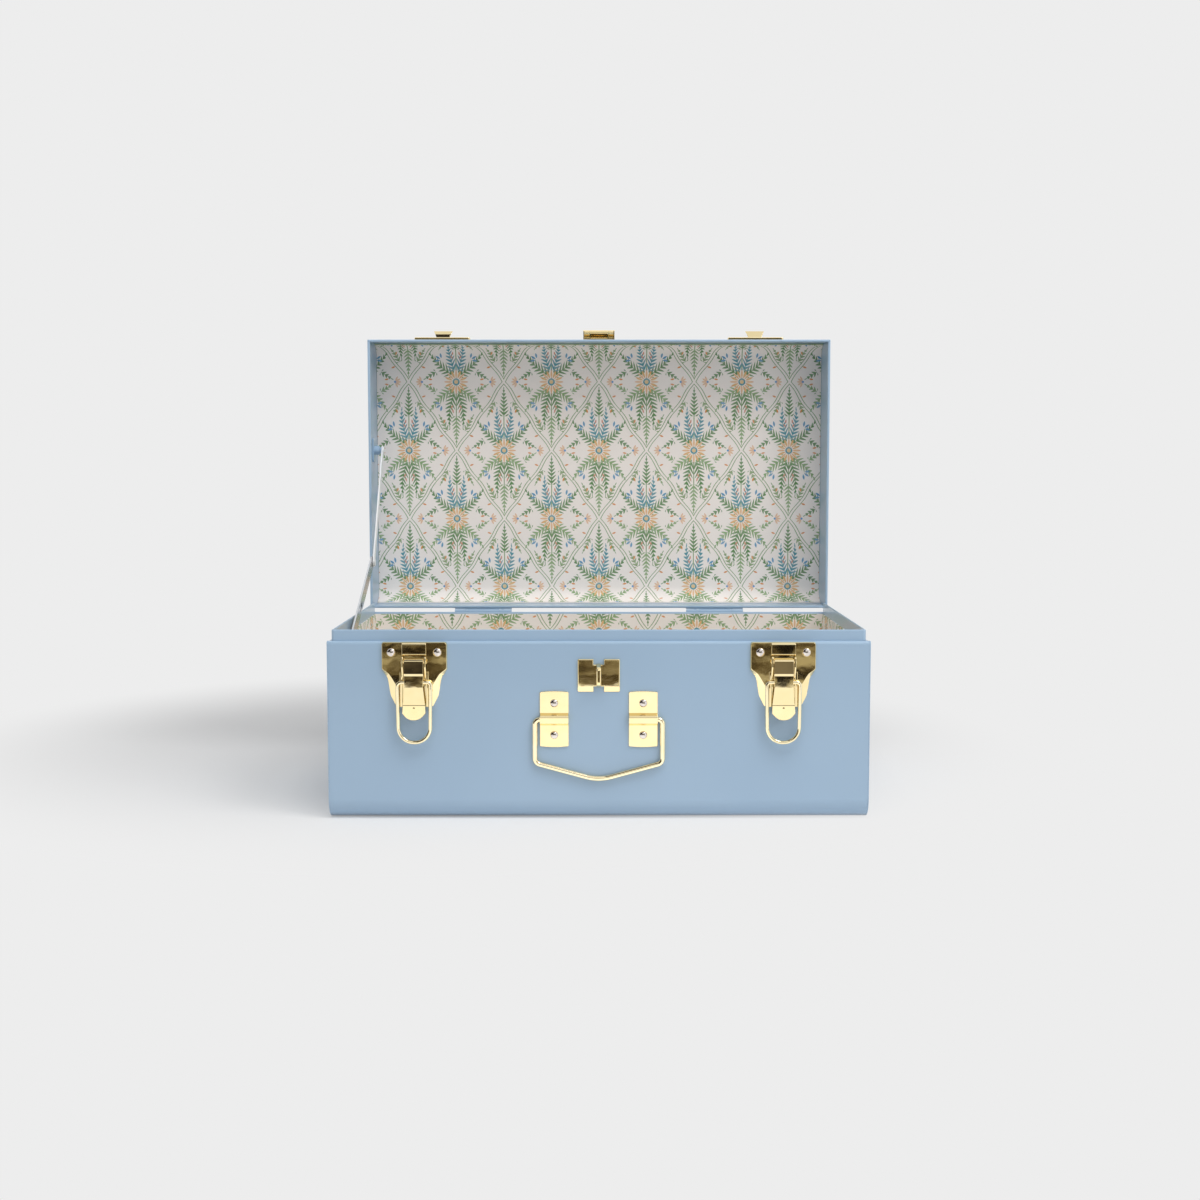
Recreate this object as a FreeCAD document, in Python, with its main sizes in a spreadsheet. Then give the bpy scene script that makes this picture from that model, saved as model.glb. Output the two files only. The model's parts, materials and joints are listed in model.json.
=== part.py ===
import FreeCAD, Part
import math
import operator
import os
from types import SimpleNamespace

import Sketcher

# Steel keepsake trunk with its lid held open by a folding stay.
# Frame: origin on the floor at the middle of the footprint, +X to the right,
# +Y to the back, +Z up. The front face is at -Y. Sizes are in millimetres.

Vector = FreeCAD.Vector

SIZES = {
    # Sheet steel box
    "trunk_width": 500.0,
    "trunk_depth": 291.0,
    "body_height": 166.0,
    "lid_height": 68.0,
    "sheet": 1.0,
    "edge_round": 19.0,
    "shoulder_round": 3.0,
    "hem_thick": 2.5,
    "hem_height": 7.0,
    "hem_round": 1.1,
    "lid_gap": 0.3,
    "lid_open": 90.0,
    # Raised rim strip inside the body's mouth
    "rim_inset": 3.8,
    "rim_thick": 2.0,
    "rim_height": 10.2,
    "rim_tail": 14.0,
    "rim_corner": 2.8,
    "rim_bevel": 0.8,
    "rim_back_gap": 0.8,
    # Lining boards
    "board": 1.2,
    "paste_gap": 0.2,
    "lining_drop": 2.0,
    # Hinges
    "hinge_out": 3.8,
    "hinge_inset": 123.5,
    "hinge_width": 62.0,
    "hinge_knuckle": 35.0,
    "hinge_barrel": 2.5,
    "hinge_leaf": 1.2,
    "hinge_reach": 33.0,
    "hinge_corner": 4.0,
    "hinge_pin": 1.25,
    "hinge_side_play": 0.3,
    "hinge_rivet_spread": 20.0,
    "hinge_rivet_drop": 22.0,
    # Rivets and running fits
    "play": 0.06,
    "rivet": 4.0,
    "rivet_rise": 2.5,
    "small_rivet": 3.7,
    "small_rivet_rise": 2.2,
    # Draw latches, with heights measured down from the parting line
    "latch_inset": 80.6,
    "latch_rise": 2.5,
    "latch_half": 30.25,
    "latch_top": 0.5,
    "latch_bevel": 0.6,
    "latch_corner": 2.0,
    "latch_shoulder_drop": 26.2,
    "latch_waist_half": 25.0,
    "latch_waist_drop": 33.6,
    "latch_waist_round": 10.0,
    "latch_hip_half": 22.2,
    "latch_hip_drop": 50.5,
    "latch_hip_round": 8.0,
    "latch_foot_half": 17.0,
    "latch_foot_drop": 60.4,
    "latch_face_waist_half": 22.0,
    "latch_face_waist_drop": 31.5,
    "latch_face_hip_half": 15.4,
    "latch_face_hip_drop": 43.0,
    "latch_face_foot_half": 13.8,
    "latch_rivet_spread": 21.2,
    "latch_rivet_drop": 10.1,
    "bridge_half": 11.1,
    "bridge_top": 1.4,
    "bridge_foot": 13.0,
    "bridge_rise": 5.2,
    "bridge_bevel": 1.2,
    "ear_outer_half": 11.2,
    "ear_inner_half": 9.6,
    "ear_peak_rise": 9.3,
    "ear_top_drop": 13.6,
    "ear_peak_drop": 23.5,
    "ear_slope_drop": 34.0,
    "ear_round": 2.0,
    "rail_outer_half": 13.2,
    "rail_inner_half": 10.6,
    "rail_rise": 4.2,
    "rail_top_drop": 28.0,
    "pivot_rise": 6.5,
    "pivot_drop": 18.6,
    "latch_pin": 1.5,
    "pin_proud": 0.4,
    # Latch lever
    "lever_half": 8.9,
    "lever_waist_half": 8.5,
    "lever_neck_half": 10.3,
    "lever_hollow_half": 7.3,
    "lever_sheet": 1.4,
    "lever_hub": 2.8,
    "lever_hub_round": 2.4,
    "lever_crest_rise": 10.4,
    "lever_crest_drop": 29.2,
    "lever_step_rise": 9.6,
    "lever_step_drop": 31.2,
    "lever_bend_drop": 41.8,
    "lever_crease": 0.5,
    "lever_neck_rise": 8.2,
    "lever_neck_drop": 58.4,
    "lever_tip_rise": 11.2,
    "lever_tip_drop": 71.8,
    "lever_back_rise": 3.9,
    "lever_flange_drop": 50.5,
    "lever_hollow_drop": 22.6,
    "lever_tab_half": 10.75,
    "lever_tab_drop": 65.6,
    "lever_tab_flat": 5.2,
    "lever_tab_round": 10.8,
    # Latch wire loop
    "loop_rise": 6.6,
    "loop_drop": 37.4,
    "loop_wire": 1.75,
    "loop_top_half": 15.2,
    "loop_foot_half": 14.5,
    "loop_foot_drop": 93.0,
    "loop_shoulder_round": 3.2,
    "loop_foot_round": 14.0,
    "loop_end_half": 6.7,
    # Catch plates on the lid
    "catch_rise": 2.5,
    "catch_half": 30.0,
    "catch_start": 1.0,
    "catch_shoulder": 17.0,
    "catch_waist_half": 22.0,
    "catch_waist": 26.0,
    "catch_top_half": 13.0,
    "catch_top": 35.0,
    "catch_corner": 2.0,
    "catch_waist_round": 8.0,
    "catch_rivet_up": 9.0,
    "catch_rivet_rise": 0.5,
    "hook_root_half": 6.5,
    "hook_root_start": 12.0,
    "hook_sheet": 1.6,
    "hook_mid_half": 8.6,
    "hook_mid_start": 13.6,
    "hook_mid_rise": 6.5,
    "hook_tip_half": 10.25,
    "hook_tip_start": 17.0,
    "hook_tip_rise": 10.1,
    # Hasp plate with its padlock staple
    "hasp_half": 19.45,
    "hasp_top_drop": 16.5,
    "hasp_foot_drop": 46.9,
    "hasp_rise": 2.2,
    "hasp_corner": 1.2,
    "hasp_notch_half": 4.85,
    "hasp_notch": 5.0,
    "hasp_flange": 5.3,
    "hasp_flange_rise": 0.5,
    "hasp_bevel": 0.6,
    "staple_half": 2.2,
    "staple_rise": 12.0,
    "staple_half_height": 11.0,
    "staple_shoulder": 3.0,
    "staple_round": 4.0,
    "staple_bevel": 0.9,
    "staple_hole": 3.6,
    "staple_hole_rise": 7.2,
    # Hasp flap and its bracket on the lid
    "bracket_half": 16.85,
    "bracket_sheet": 1.2,
    "bracket_start": 1.5,
    "bracket_length": 27.5,
    "bracket_wall_rise": 8.4,
    "bracket_tongue_half": 9.0,
    "bracket_tongue": 4.5,
    "hasp_pivot_rise": 7.9,
    "hasp_pivot_up": 4.2,
    "hasp_barrel": 2.3,
    "hasp_pin": 1.2,
    "hasp_knuckle_half": 10.3,
    "hasp_side_play": 0.3,
    "flap_sheet": 1.2,
    "flap_neck": 5.0,
    "flap_length": 55.0,
    "flap_corner": 5.0,
    "slot_half": 3.1,
    "slot_clear": 1.4,
    "bracket_rivet_spread": 9.0,
    "bracket_rivet_up": 18.0,
    # Carrying handle
    "handle_height": 93.8,
    "handle_spread": 41.0,
    "handle_plate_half": 13.3,
    "handle_plate_reach": 25.3,
    "handle_plate_crown": 26.4,
    "handle_crown_round": 100.0,
    "handle_plate": 1.4,
    "handle_corner": 1.2,
    "handle_axis_rise": 2.65,
    "handle_wire": 2.4,
    "barrel_foot_half": 5.8,
    "barrel_half": 3.3,
    "barrel_rise": 6.5,
    "barrel_round": 2.4,
    "handle_rivet_up": 14.8,
    "bail_end_half": 28.6,
    "bail_half": 58.8,
    "bail_side": 40.6,
    "bail_drop": 56.6,
    "bail_top_round": 4.3,
    "bail_side_round": 6.0,
    "bail_foot_round": 45.0,
    # Lid stay
    "stay_foot_start": 93.5,
    "stay_foot_height": 156.5,
    "stay_lid_forward": 175.8,
    "stay_lid_up": 30.7,
    "stay_slack": 11.5,
    "lower_half": 6.5,
    "lower_sheet": 2.0,
    "upper_half": 4.6,
    "upper_sheet": 1.6,
    "link_gap": 0.3,
    "stay_rivet": 2.5,
    "stay_head": 4.0,
    "stay_head_rise": 0.8,
    "foot_plate": 1.0,
    "foot_plate_half": 8.0,
    "foot_plate_reach": 8.0,
    "foot_plate_corner": 3.0,
    "link_slot_start": 58.0,
    "link_slot_end": 76.0,
    "link_slot_half": 2.2,
    "lid_plate": 1.5,
    "lid_plate_half": 13.0,
    "lid_plate_reach": 8.0,
    "lid_boss": 5.0,
    "lid_stud": 3.2,
    # Overrun of cuts
    "overrun": 2.0,
}

# The bevel of a rivet's head, as a share of its rise, and how many sides it has
HEAD_BEVEL_SHARE = 0.72
HEAD_SIDES = 12
WIRE_SIDES = 8
# The lower link's share of the stay, and the round ends' share of a link's half width
LOWER_LINK_SHARE = 0.532
ROUND_END_SHARE = 0.95
# Decimals, in millimetres, that tell two edges apart
EDGE_DECIMALS = 3

doc = FreeCAD.newDocument("trunk")
sheet = doc.addObject("Spreadsheet::Sheet", "Sizes")
for row, (alias, number) in enumerate(SIZES.items(), start=1):
    sheet.set("A%d" % row, alias)
    sheet.set("B%d" % row, "%g" % number)
    sheet.setAlias("B%d" % row, alias)
doc.recompute()

nodes = []


# Sizes that know both their value and the sheet formula that gives it


class Term:
    """A size together with the sheet formula that it comes from."""

    def __init__(self, value, formula=None):
        self.value = value
        self.plain = formula is None
        self.formula = "%.9g" % value if self.plain else formula

    def __add__(self, other):
        return combine(self, "+", other)

    def __radd__(self, other):
        return combine(other, "+", self)

    def __sub__(self, other):
        return combine(self, "-", other)

    def __rsub__(self, other):
        return combine(other, "-", self)

    def __mul__(self, other):
        return combine(self, "*", other)

    def __rmul__(self, other):
        return combine(other, "*", self)

    def __truediv__(self, other):
        return combine(self, "/", other)

    def __rtruediv__(self, other):
        return combine(other, "/", self)

    def __neg__(self):
        return combine(0, "-", self)

    def is_just(self, number):
        """Whether the term is this plain number."""
        return self.plain and self.value == number


OPERATIONS = {"+": operator.add, "-": operator.sub, "*": operator.mul, "/": operator.truediv}


def term(item):
    """Turn a plain number into a term, and leave a term as it is."""
    return item if isinstance(item, Term) else Term(float(item))


def combine(left, sign, right):
    """Join two terms by one of the four signs, with the shortest formula that says so."""
    left = term(left)
    right = term(right)
    value = OPERATIONS[sign](left.value, right.value)
    if left.plain and right.plain:
        return Term(value)
    if (sign in "+-" and right.is_just(0)) or (sign in "*/" and right.is_just(1)):
        return left
    if (sign == "+" and left.is_just(0)) or (sign == "*" and left.is_just(1)):
        return right
    if sign == "-" and left.formula == right.formula:
        return Term(0.0)
    if sign in "*/" and (left.is_just(0) or right.is_just(0)):
        return Term(0.0)
    return Term(value, "(%s %s %s)" % (left.formula, sign, right.formula))


def worked(name, function, item):
    """A term that a function of the sheet's language gives for another term."""
    value = round(function(item.value), 12)
    return Term(value) if item.plain else Term(value, "%s(%s)" % (name, item.formula))


def cosine(angle):
    """Cosine of an angle in degrees."""
    return worked("cos", lambda value: math.cos(math.radians(value)), angle)


def sine(angle):
    """Sine of an angle in degrees."""
    return worked("sin", lambda value: math.sin(math.radians(value)), angle)


def tangent(angle):
    """Tangent of an angle in degrees."""
    return worked("tan", lambda value: math.tan(math.radians(value)), angle)


def size_of(item):
    """The item without its sign."""
    return worked("abs", abs, item)


def square_root(item):
    """Square root of a term."""
    return worked("sqrt", math.sqrt, item)


def arc_cosine(item):
    """Angle in degrees whose cosine is given."""
    angle = worked("acos", lambda value: math.degrees(math.acos(value)), item)
    return Term(angle.value, "(%s / 1 deg)" % angle.formula)


def direction(across, up):
    """Angle in degrees of the way that goes across and up."""
    value = math.degrees(math.atan2(up.value, across.value))
    if across.is_just(0) or up.is_just(0):
        return Term(value)
    return Term(value, "(atan2(%s; %s) / 1 deg)" % (up.formula, across.formula))


size = SimpleNamespace(**{name: Term(value, "Sizes." + name) for name, value in SIZES.items()})


# Helpers that draw bound sketches and build features on them


def bind(item, path, length):
    """Give a property its formula in the sheet, unless it stays at nought."""
    length = term(length)
    if not length.is_just(0):
        item.setExpression(path, length.formula)


def new_body(label):
    """A body whose label is its node's name."""
    body = doc.addObject("PartDesign::Body", label)
    body.Label = label
    nodes.append(body)
    return body


def new_sketch(body, role, lift=0):
    """An empty sketch on one of the body's origin planes, lifted along its normal."""
    plane = next(item for item in body.Origin.OriginFeatures if item.Role == role)
    sketch = body.newObject("Sketcher::SketchObject", body.Label + "_sketch")
    sketch.AttachmentSupport = [(plane, "")]
    sketch.MapMode = "FlatFace"
    sketch.AttachmentOffset = FreeCAD.Placement(Vector(0, 0, term(lift).value), FreeCAD.Rotation())
    bind(sketch, "AttachmentOffset.Base.z", lift)
    return sketch


class Drawing:
    """Lines, arcs and circles that go into a sketch together with what holds them."""

    def __init__(self, sketch):
        self.sketch = sketch
        self.constraints = []
        self.formulas = []

    def hold(self, kind, places, length):
        """Give a dimension its length, and keep the formula for it."""
        length = term(length)
        if not length.plain:
            self.formulas.append((len(self.constraints), length))
        self.constraints.append(Sketcher.Constraint(kind, *places, length.value))

    def hold_point(self, item, end, point):
        """Hold one end of an item at a point."""
        self.hold("DistanceX", (-1, 1, item, end), point[0])
        self.hold("DistanceY", (-1, 1, item, end), point[1])

    def add_line(self, start, end):
        """A straight run between two points."""
        line = Part.LineSegment(as_vector(start), as_vector(end))
        item = self.sketch.addGeometry(line, False)
        self.hold_point(item, 1, start)
        self.hold_point(item, 2, end)
        return item

    def add_arc(self, before, after, turn):
        """The arc that rounds a corner between two runs."""
        spokes = [as_vector(end) - turn.centre for end in (turn.start, turn.end)]
        angles = [math.atan2(spoke.y, spoke.x) for spoke in spokes]
        forwards = (angles[1] - angles[0]) % math.tau < math.pi
        near, far = (1, 2) if forwards else (2, 1)
        if not forwards:
            angles.reverse()
        circle = Part.Circle(turn.centre, Vector(0, 0, 1), turn.radius.value)
        item = self.sketch.addGeometry(Part.ArcOfCircle(circle, *angles), False)
        self.constraints.append(Sketcher.Constraint("Coincident", before, 2, item, near))
        self.constraints.append(Sketcher.Constraint("Coincident", item, far, after, 1))
        self.hold("Radius", (item,), turn.radius)

    def finish(self):
        """Put every constraint into the sketch, and bind those that have a formula."""
        first = len(self.sketch.Constraints)
        self.sketch.addConstraint(self.constraints)
        for index, length in self.formulas:
            bind(self.sketch, "Constraints[%d]" % (first + index), length)
        return self.sketch


def as_vector(point):
    """A point of two terms as a plain vector."""
    return Vector(point[0].value, point[1].value, 0)


def turn_at(before, corner, after, radius):
    """Where the arc that rounds a corner starts and ends, and where its centre is."""
    towards = [direction(end[0] - corner[0], end[1] - corner[1]) for end in (before, after)]
    reach = radius / size_of(tangent((towards[0] - towards[1]) / 2))
    start, end = [(corner[0] + cosine(way) * reach, corner[1] + sine(way) * reach)
                  for way in towards]
    tip = as_vector(corner)
    chord = (as_vector(start) + as_vector(end)) / 2 - tip
    centre = tip + chord.normalize() * math.hypot(radius.value, reach.value)
    return SimpleNamespace(start=start, end=end, centre=centre, radius=radius)


def with_chords(corners):
    """The same outline with two straight chords in place of each arc, for plain facets."""
    corners = [[term(item) for item in corner] for corner in corners]
    made = []
    for index, corner in enumerate(corners):
        if len(corner) < 3:
            made.append(corner)
            continue
        ends = (corners[index - 1], corners[(index + 1) % len(corners)])
        turn = turn_at(ends[0], corner, ends[1], corner[2])
        towards = [direction(end[0] - corner[0], end[1] - corner[1]) for end in ends]
        share = size_of(sine((towards[0] - towards[1]) / 2)) + 1
        middle = [tip + ((start + end) / 2 - tip) / share
                  for tip, start, end in zip(corner, turn.start, turn.end)]
        made += [turn.start, middle, turn.end]
    return made


def draw(sketch, corners, closed=True):
    """Draw an outline of straight runs, with an arc at each corner that has a radius."""
    corners = [[term(item) for item in corner] for corner in corners]
    count = len(corners)
    turns = []
    for index, corner in enumerate(corners):
        if len(corner) == 3:
            before = corners[index - 1]
            after = corners[(index + 1) % count]
            turns.append(turn_at(before, corner, after, corner[2]))
        else:
            turns.append(SimpleNamespace(start=corner, end=corner, radius=None))
    drawing = Drawing(sketch)
    last = count if closed else count - 1
    runs = [drawing.add_line(turns[index].end, turns[(index + 1) % count].start)
            for index in range(last)]
    for index, turn in enumerate(turns):
        if turn.radius is not None:
            drawing.add_arc(runs[index - 1], runs[index], turn)
    return drawing.finish()


def draw_circle(sketch, across, up, radius):
    """Draw a circle that is bound to the sheet."""
    centre = (term(across), term(up))
    radius = term(radius)
    drawing = Drawing(sketch)
    circle = Part.Circle(as_vector(centre), Vector(0, 0, 1), radius.value)
    item = sketch.addGeometry(circle, False)
    drawing.hold_point(item, 3, centre)
    drawing.hold("Radius", (item,), radius)
    return drawing.finish()


def pad(body, sketch, length, both=False):
    """Pad a sketch along its plane's normal, or half each way."""
    feature = body.newObject("PartDesign::Pad", body.Label + "_pad")
    feature.Profile = sketch
    feature.SideType = "Symmetric" if both else "One side"
    bind(feature, "Length", length)
    body.Tip = feature
    return feature


def cut(body, sketch, length=None):
    """Cut a sketch half each way by a length, or right through."""
    feature = body.newObject("PartDesign::Pocket", body.Label + "_cut")
    feature.Profile = sketch
    feature.SideType = "Symmetric"
    if length is None:
        feature.Type = "ThroughAll"
    else:
        bind(feature, "Length", length)
    body.Tip = feature
    return feature


def bevel_edges(body, depth, chosen):
    """Bevel the edges of the body that a test picks out."""
    doc.recompute()
    base = body.Tip
    edges = enumerate(base.Shape.Edges, start=1)
    names = ["Edge%d" % index for index, edge in edges if chosen(edge.BoundBox)]
    feature = body.newObject("PartDesign::Chamfer", body.Label + "_bevel")
    feature.Base = (base, names)
    bind(feature, "Size", depth)
    body.Tip = feature
    return feature


def same(left, right):
    """Whether two plain lengths agree closely."""
    return round(left - right, EDGE_DECIMALS) == 0


def mirrored(corners):
    """Outline made of a right half, top to bottom, and its mirror image."""
    left = [[-corner[0]] + list(corner[1:]) for corner in reversed(corners)]
    return [list(corner) for corner in corners] + left


def place(item, across=0, back=0, up=0):
    """Put an item at a bound place."""
    bind(item, "Placement.Base.x", across)
    bind(item, "Placement.Base.y", back)
    bind(item, "Placement.Base.z", up)


half_width = size.trunk_width / 2
half_depth = size.trunk_depth / 2
hinge_back = half_depth + size.hinge_out
lid_front = -(size.hinge_out + size.trunk_depth)
lid_back = -size.hinge_out
lid_cos = cosine(size.lid_open)
lid_sin = sine(size.lid_open)


def place_on_lid(item, across=0, back=0):
    """Put an item made for the closed lid, measured from the hinge line, on the open lid."""
    item.Placement = FreeCAD.Placement(Vector(), FreeCAD.Rotation(Vector(1, 0, 0), -SIZES["lid_open"]))
    bind(item, "Placement.Rotation.Angle", -size.lid_open)
    place(item, across, hinge_back + back * lid_cos, size.body_height - back * lid_sin)


def ring_corners(across, up, radius, sides):
    """Corners of a regular outline round a middle."""
    turns = [math.tau * index / sides for index in range(sides)]
    return [(across + radius * math.cos(turn), up + radius * math.sin(turn)) for turn in turns]


def rivet_heads(label, spots, face, radius, rise, back=False):
    """Domed rivet heads in flat facets, all on one face that looks to the front or the back."""
    body = new_body(label)
    body.AllowCompound = True
    sketch = new_sketch(body, "XZ_Plane", face)
    for across, up in spots:
        draw(sketch, ring_corners(across, up, radius, HEAD_SIDES))
    feature = pad(body, sketch, rise)
    feature.Reversed = back
    top = (face - rise if back else face + rise).value
    bevel_edges(body, rise * HEAD_BEVEL_SHARE,
                lambda box: same(box.YMin, -top) and same(box.YMax, -top))
    return body


def group(label, items):
    """A node made of several separate solids."""
    compound = doc.addObject("Part::Compound", label)
    compound.Label = label
    compound.Links = items
    nodes.append(compound)
    return compound


def rod(radius, start, end):
    """A round bar along X from one place to another."""
    cylinder = doc.addObject("Part::Cylinder", "rod")
    cylinder.Placement = FreeCAD.Placement(Vector(), FreeCAD.Rotation(Vector(0, 1, 0), 90))
    bind(cylinder, "Radius", radius)
    bind(cylinder, "Height", end - start)
    bind(cylinder, "Placement.Base.x", start)
    return cylinder


def disc(radius, start, end):
    """A rivet's head in flat facets, from one place along X to another."""
    prism = doc.addObject("Part::Prism", "disc")
    prism.Polygon = HEAD_SIDES
    prism.Placement = FreeCAD.Placement(Vector(), FreeCAD.Rotation(Vector(0, 1, 0), 90))
    bind(prism, "Circumradius", radius)
    bind(prism, "Height", end - start)
    bind(prism, "Placement.Base.x", start)
    return prism


def fused(label, items):
    """A node made of several solids joined into one."""
    union = doc.addObject("Part::MultiFuse", label)
    union.Label = label
    union.Shapes = items
    nodes.append(union)
    return union


# Body shell: one sheet wraps the front, bottom and back, and a plate closes each end


def make_body_wrap():
    """The wrap sheet, with its rolled front shoulder and its hemmed back edge."""
    body = new_body("body_wrap")
    inner_round = size.edge_round - size.sheet
    front = -half_depth
    corners = [
        (front + size.rim_inset, size.body_height),
        (front, size.body_height, size.shoulder_round),
        (front, 0, size.edge_round),
        (half_depth, 0, size.edge_round),
        (half_depth, size.body_height, size.hem_round),
        (half_depth - size.hem_thick, size.body_height, size.hem_round),
        (half_depth - size.hem_thick, size.body_height - size.hem_height),
        (half_depth - size.sheet, size.body_height - size.hem_height),
        (half_depth - size.sheet, size.sheet, inner_round),
        (front + size.sheet, size.sheet, inner_round),
        (front + size.sheet, size.body_height - size.sheet, size.shoulder_round - size.sheet),
        (front + size.rim_inset, size.body_height - size.sheet),
    ]
    sketch = draw(new_sketch(body, "YZ_Plane"), corners)
    pad(body, sketch, size.trunk_width - 2 * size.sheet, both=True)


def make_body_end(label, side):
    """An end plate whose top edge rolls inwards to the rim strip."""
    body = new_body(label)
    front = -half_depth
    plate_top = size.body_height - 2 * size.shoulder_round
    outline = [
        (front, size.body_height, size.shoulder_round),
        (front, 0, size.edge_round),
        (half_depth, 0, size.edge_round),
        (half_depth, size.body_height, size.hem_round),
        (half_depth - size.hem_thick, size.body_height),
        (half_depth - size.hem_thick, plate_top),
        (front + size.rim_inset, plate_top),
        (front + size.rim_inset, size.body_height),
    ]
    lift = half_width - size.sheet if side > 0 else -half_width
    pad(body, draw(new_sketch(body, "YZ_Plane", lift), outline), size.sheet)
    shoulder = [
        (side * half_width, plate_top),
        (side * half_width, size.body_height, size.shoulder_round),
        (side * (half_width - size.rim_inset), size.body_height),
        (side * (half_width - size.rim_inset), size.body_height - size.sheet),
        (side * (half_width - size.sheet), size.body_height - size.sheet,
         size.shoulder_round - size.sheet),
        (side * (half_width - size.sheet), plate_top),
    ]
    lift = size.hem_thick - half_depth
    length = size.trunk_depth - size.hem_thick - size.rim_inset
    pad(body, draw(new_sketch(body, "XZ_Plane", lift), shoulder), length)


def make_body_rim():
    """The raised strip round the mouth's front and sides, folded double at its top."""
    body = new_body("body_rim")
    outer = half_width - size.rim_inset
    front = size.rim_inset - half_depth
    inner = outer - size.rim_thick
    back = half_depth - size.hem_thick - size.rim_back_gap
    inner_corner = size.rim_corner - size.rim_thick
    plan = [
        (-outer, back),
        (-outer, front, size.rim_corner),
        (outer, front, size.rim_corner),
        (outer, back),
        (inner, back),
        (inner, front + size.rim_thick, inner_corner),
        (-inner, front + size.rim_thick, inner_corner),
        (-inner, back),
    ]
    sketch = draw(new_sketch(body, "XY_Plane", size.body_height - size.rim_tail), plan)
    pad(body, sketch, size.rim_tail + size.rim_height)
    top = (size.body_height + size.rim_height).value
    bevel_edges(body, size.rim_bevel, lambda box: same(box.ZMin, top) and same(box.ZMax, top))


lining_face = size.rim_inset + size.rim_thick
lining_top = size.body_height - size.lining_drop
lining_floor = size.sheet + size.paste_gap


def lining_corners(inset):
    """Outline of the lining's trough, pulled in by an inset."""
    front = lining_face - half_depth + inset
    back = half_depth - size.hem_thick - inset
    front_round = size.edge_round - lining_face - inset
    back_round = size.edge_round - size.hem_thick - inset
    return [
        (front, lining_top),
        (front, lining_floor + inset, front_round),
        (back, lining_floor + inset, back_round),
        (back, lining_top),
    ]


def make_body_lining():
    """The papered board that runs down the front, over the bottom and up the back."""
    body = new_body("body_lining")
    outline = lining_corners(0) + list(reversed(lining_corners(size.board)))
    sketch = draw(new_sketch(body, "YZ_Plane"), outline)
    pad(body, sketch, size.trunk_width - 2 * (lining_face + size.board), both=True)


def make_lining_end(label, side):
    """A papered board on one end wall."""
    body = new_body(label)
    outer = half_width - lining_face
    lift = outer - size.board if side > 0 else -outer
    pad(body, draw(new_sketch(body, "YZ_Plane", lift), lining_corners(0)), size.board)


# Lid shell, drawn closed and measured from the hinge line


def make_lid_wrap():
    """The lid's wrap sheet, with a hem along its front and back edges."""
    body = new_body("lid_wrap")
    inner_round = size.edge_round - size.sheet
    hem_top = size.lid_gap + size.hem_height
    corners = [
        (lid_front, size.lid_gap, size.hem_round),
        (lid_front, size.lid_height, size.edge_round),
        (lid_back, size.lid_height, size.edge_round),
        (lid_back, size.lid_gap, size.hem_round),
        (lid_back - size.hem_thick, size.lid_gap, size.hem_round),
        (lid_back - size.hem_thick, hem_top),
        (lid_back - size.sheet, hem_top),
        (lid_back - size.sheet, size.lid_height - size.sheet, inner_round),
        (lid_front + size.sheet, size.lid_height - size.sheet, inner_round),
        (lid_front + size.sheet, hem_top),
        (lid_front + size.hem_thick, hem_top),
        (lid_front + size.hem_thick, size.lid_gap, size.hem_round),
    ]
    sketch = draw(new_sketch(body, "YZ_Plane"), corners)
    pad(body, sketch, size.trunk_width - 2 * size.sheet, both=True)
    place_on_lid(body)


def make_lid_end(label, side):
    """An end plate of the lid with a hem along its open edge."""
    body = new_body(label)
    outline = [
        (lid_front, size.lid_gap, size.hem_round),
        (lid_front, size.lid_height, size.edge_round),
        (lid_back, size.lid_height, size.edge_round),
        (lid_back, size.lid_gap, size.hem_round),
    ]
    lift = half_width - size.sheet if side > 0 else -half_width
    pad(body, draw(new_sketch(body, "YZ_Plane", lift), outline), size.sheet)
    hem = [
        (side * (half_width - size.sheet), size.lid_gap),
        (side * (half_width - size.hem_thick), size.lid_gap, size.hem_round),
        (side * (half_width - size.hem_thick), size.lid_gap + size.hem_height),
        (side * (half_width - size.sheet), size.lid_gap + size.hem_height),
    ]
    lift = size.hem_thick - lid_back
    length = size.trunk_depth - 2 * size.hem_thick
    pad(body, draw(new_sketch(body, "XZ_Plane", lift), hem), length)
    place_on_lid(body)


def make_lid_lining():
    """The papered board inside the lid's top, bent round its two long edges."""
    body = new_body("lid_lining")

    def arch(inset):
        bend = size.edge_round - inset
        return [
            (lid_front + inset, size.lid_height - size.edge_round),
            (lid_front + inset, size.lid_height - inset, bend - size.paste_gap),
            (lid_back - inset, size.lid_height - inset, bend - size.paste_gap),
            (lid_back - inset, size.lid_height - size.edge_round),
        ]

    outer = size.sheet + size.paste_gap
    outline = arch(outer) + list(reversed(arch(outer + size.board)))
    sketch = draw(new_sketch(body, "YZ_Plane"), outline)
    pad(body, sketch, size.trunk_width - 2 * outer, both=True)
    place_on_lid(body)


# Hinges, measured from the hinge line


def hinge_leaf(label, side, knuckles):
    """A leaf: side is 1 for the lid's leaf and -1 for the body's."""
    body = new_body(label)
    near = side * (size.hinge_barrel - size.hinge_leaf)
    far = side * size.hinge_reach
    half = size.hinge_width / 2
    plate = [
        (half, near),
        (half, far, size.hinge_corner),
        (-half, far, size.hinge_corner),
        (-half, near),
    ]
    sketch = draw(new_sketch(body, "XZ_Plane", size.hinge_out - size.hinge_leaf), plate)
    pad(body, sketch, size.hinge_leaf)
    web = [
        (-size.hinge_out, near),
        (0, near),
        (0, side * size.hinge_barrel),
        (-size.hinge_out, side * size.hinge_barrel),
    ]
    for start, end in knuckles:
        pad(body, draw(new_sketch(body, "YZ_Plane", start), web), end - start)
        barrel = draw_circle(new_sketch(body, "YZ_Plane", start), 0, 0, size.hinge_barrel)
        pad(body, barrel, end - start)
    bore = draw_circle(new_sketch(body, "YZ_Plane"), 0, 0, size.hinge_pin + size.play)
    cut(body, bore)
    return body


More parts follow.
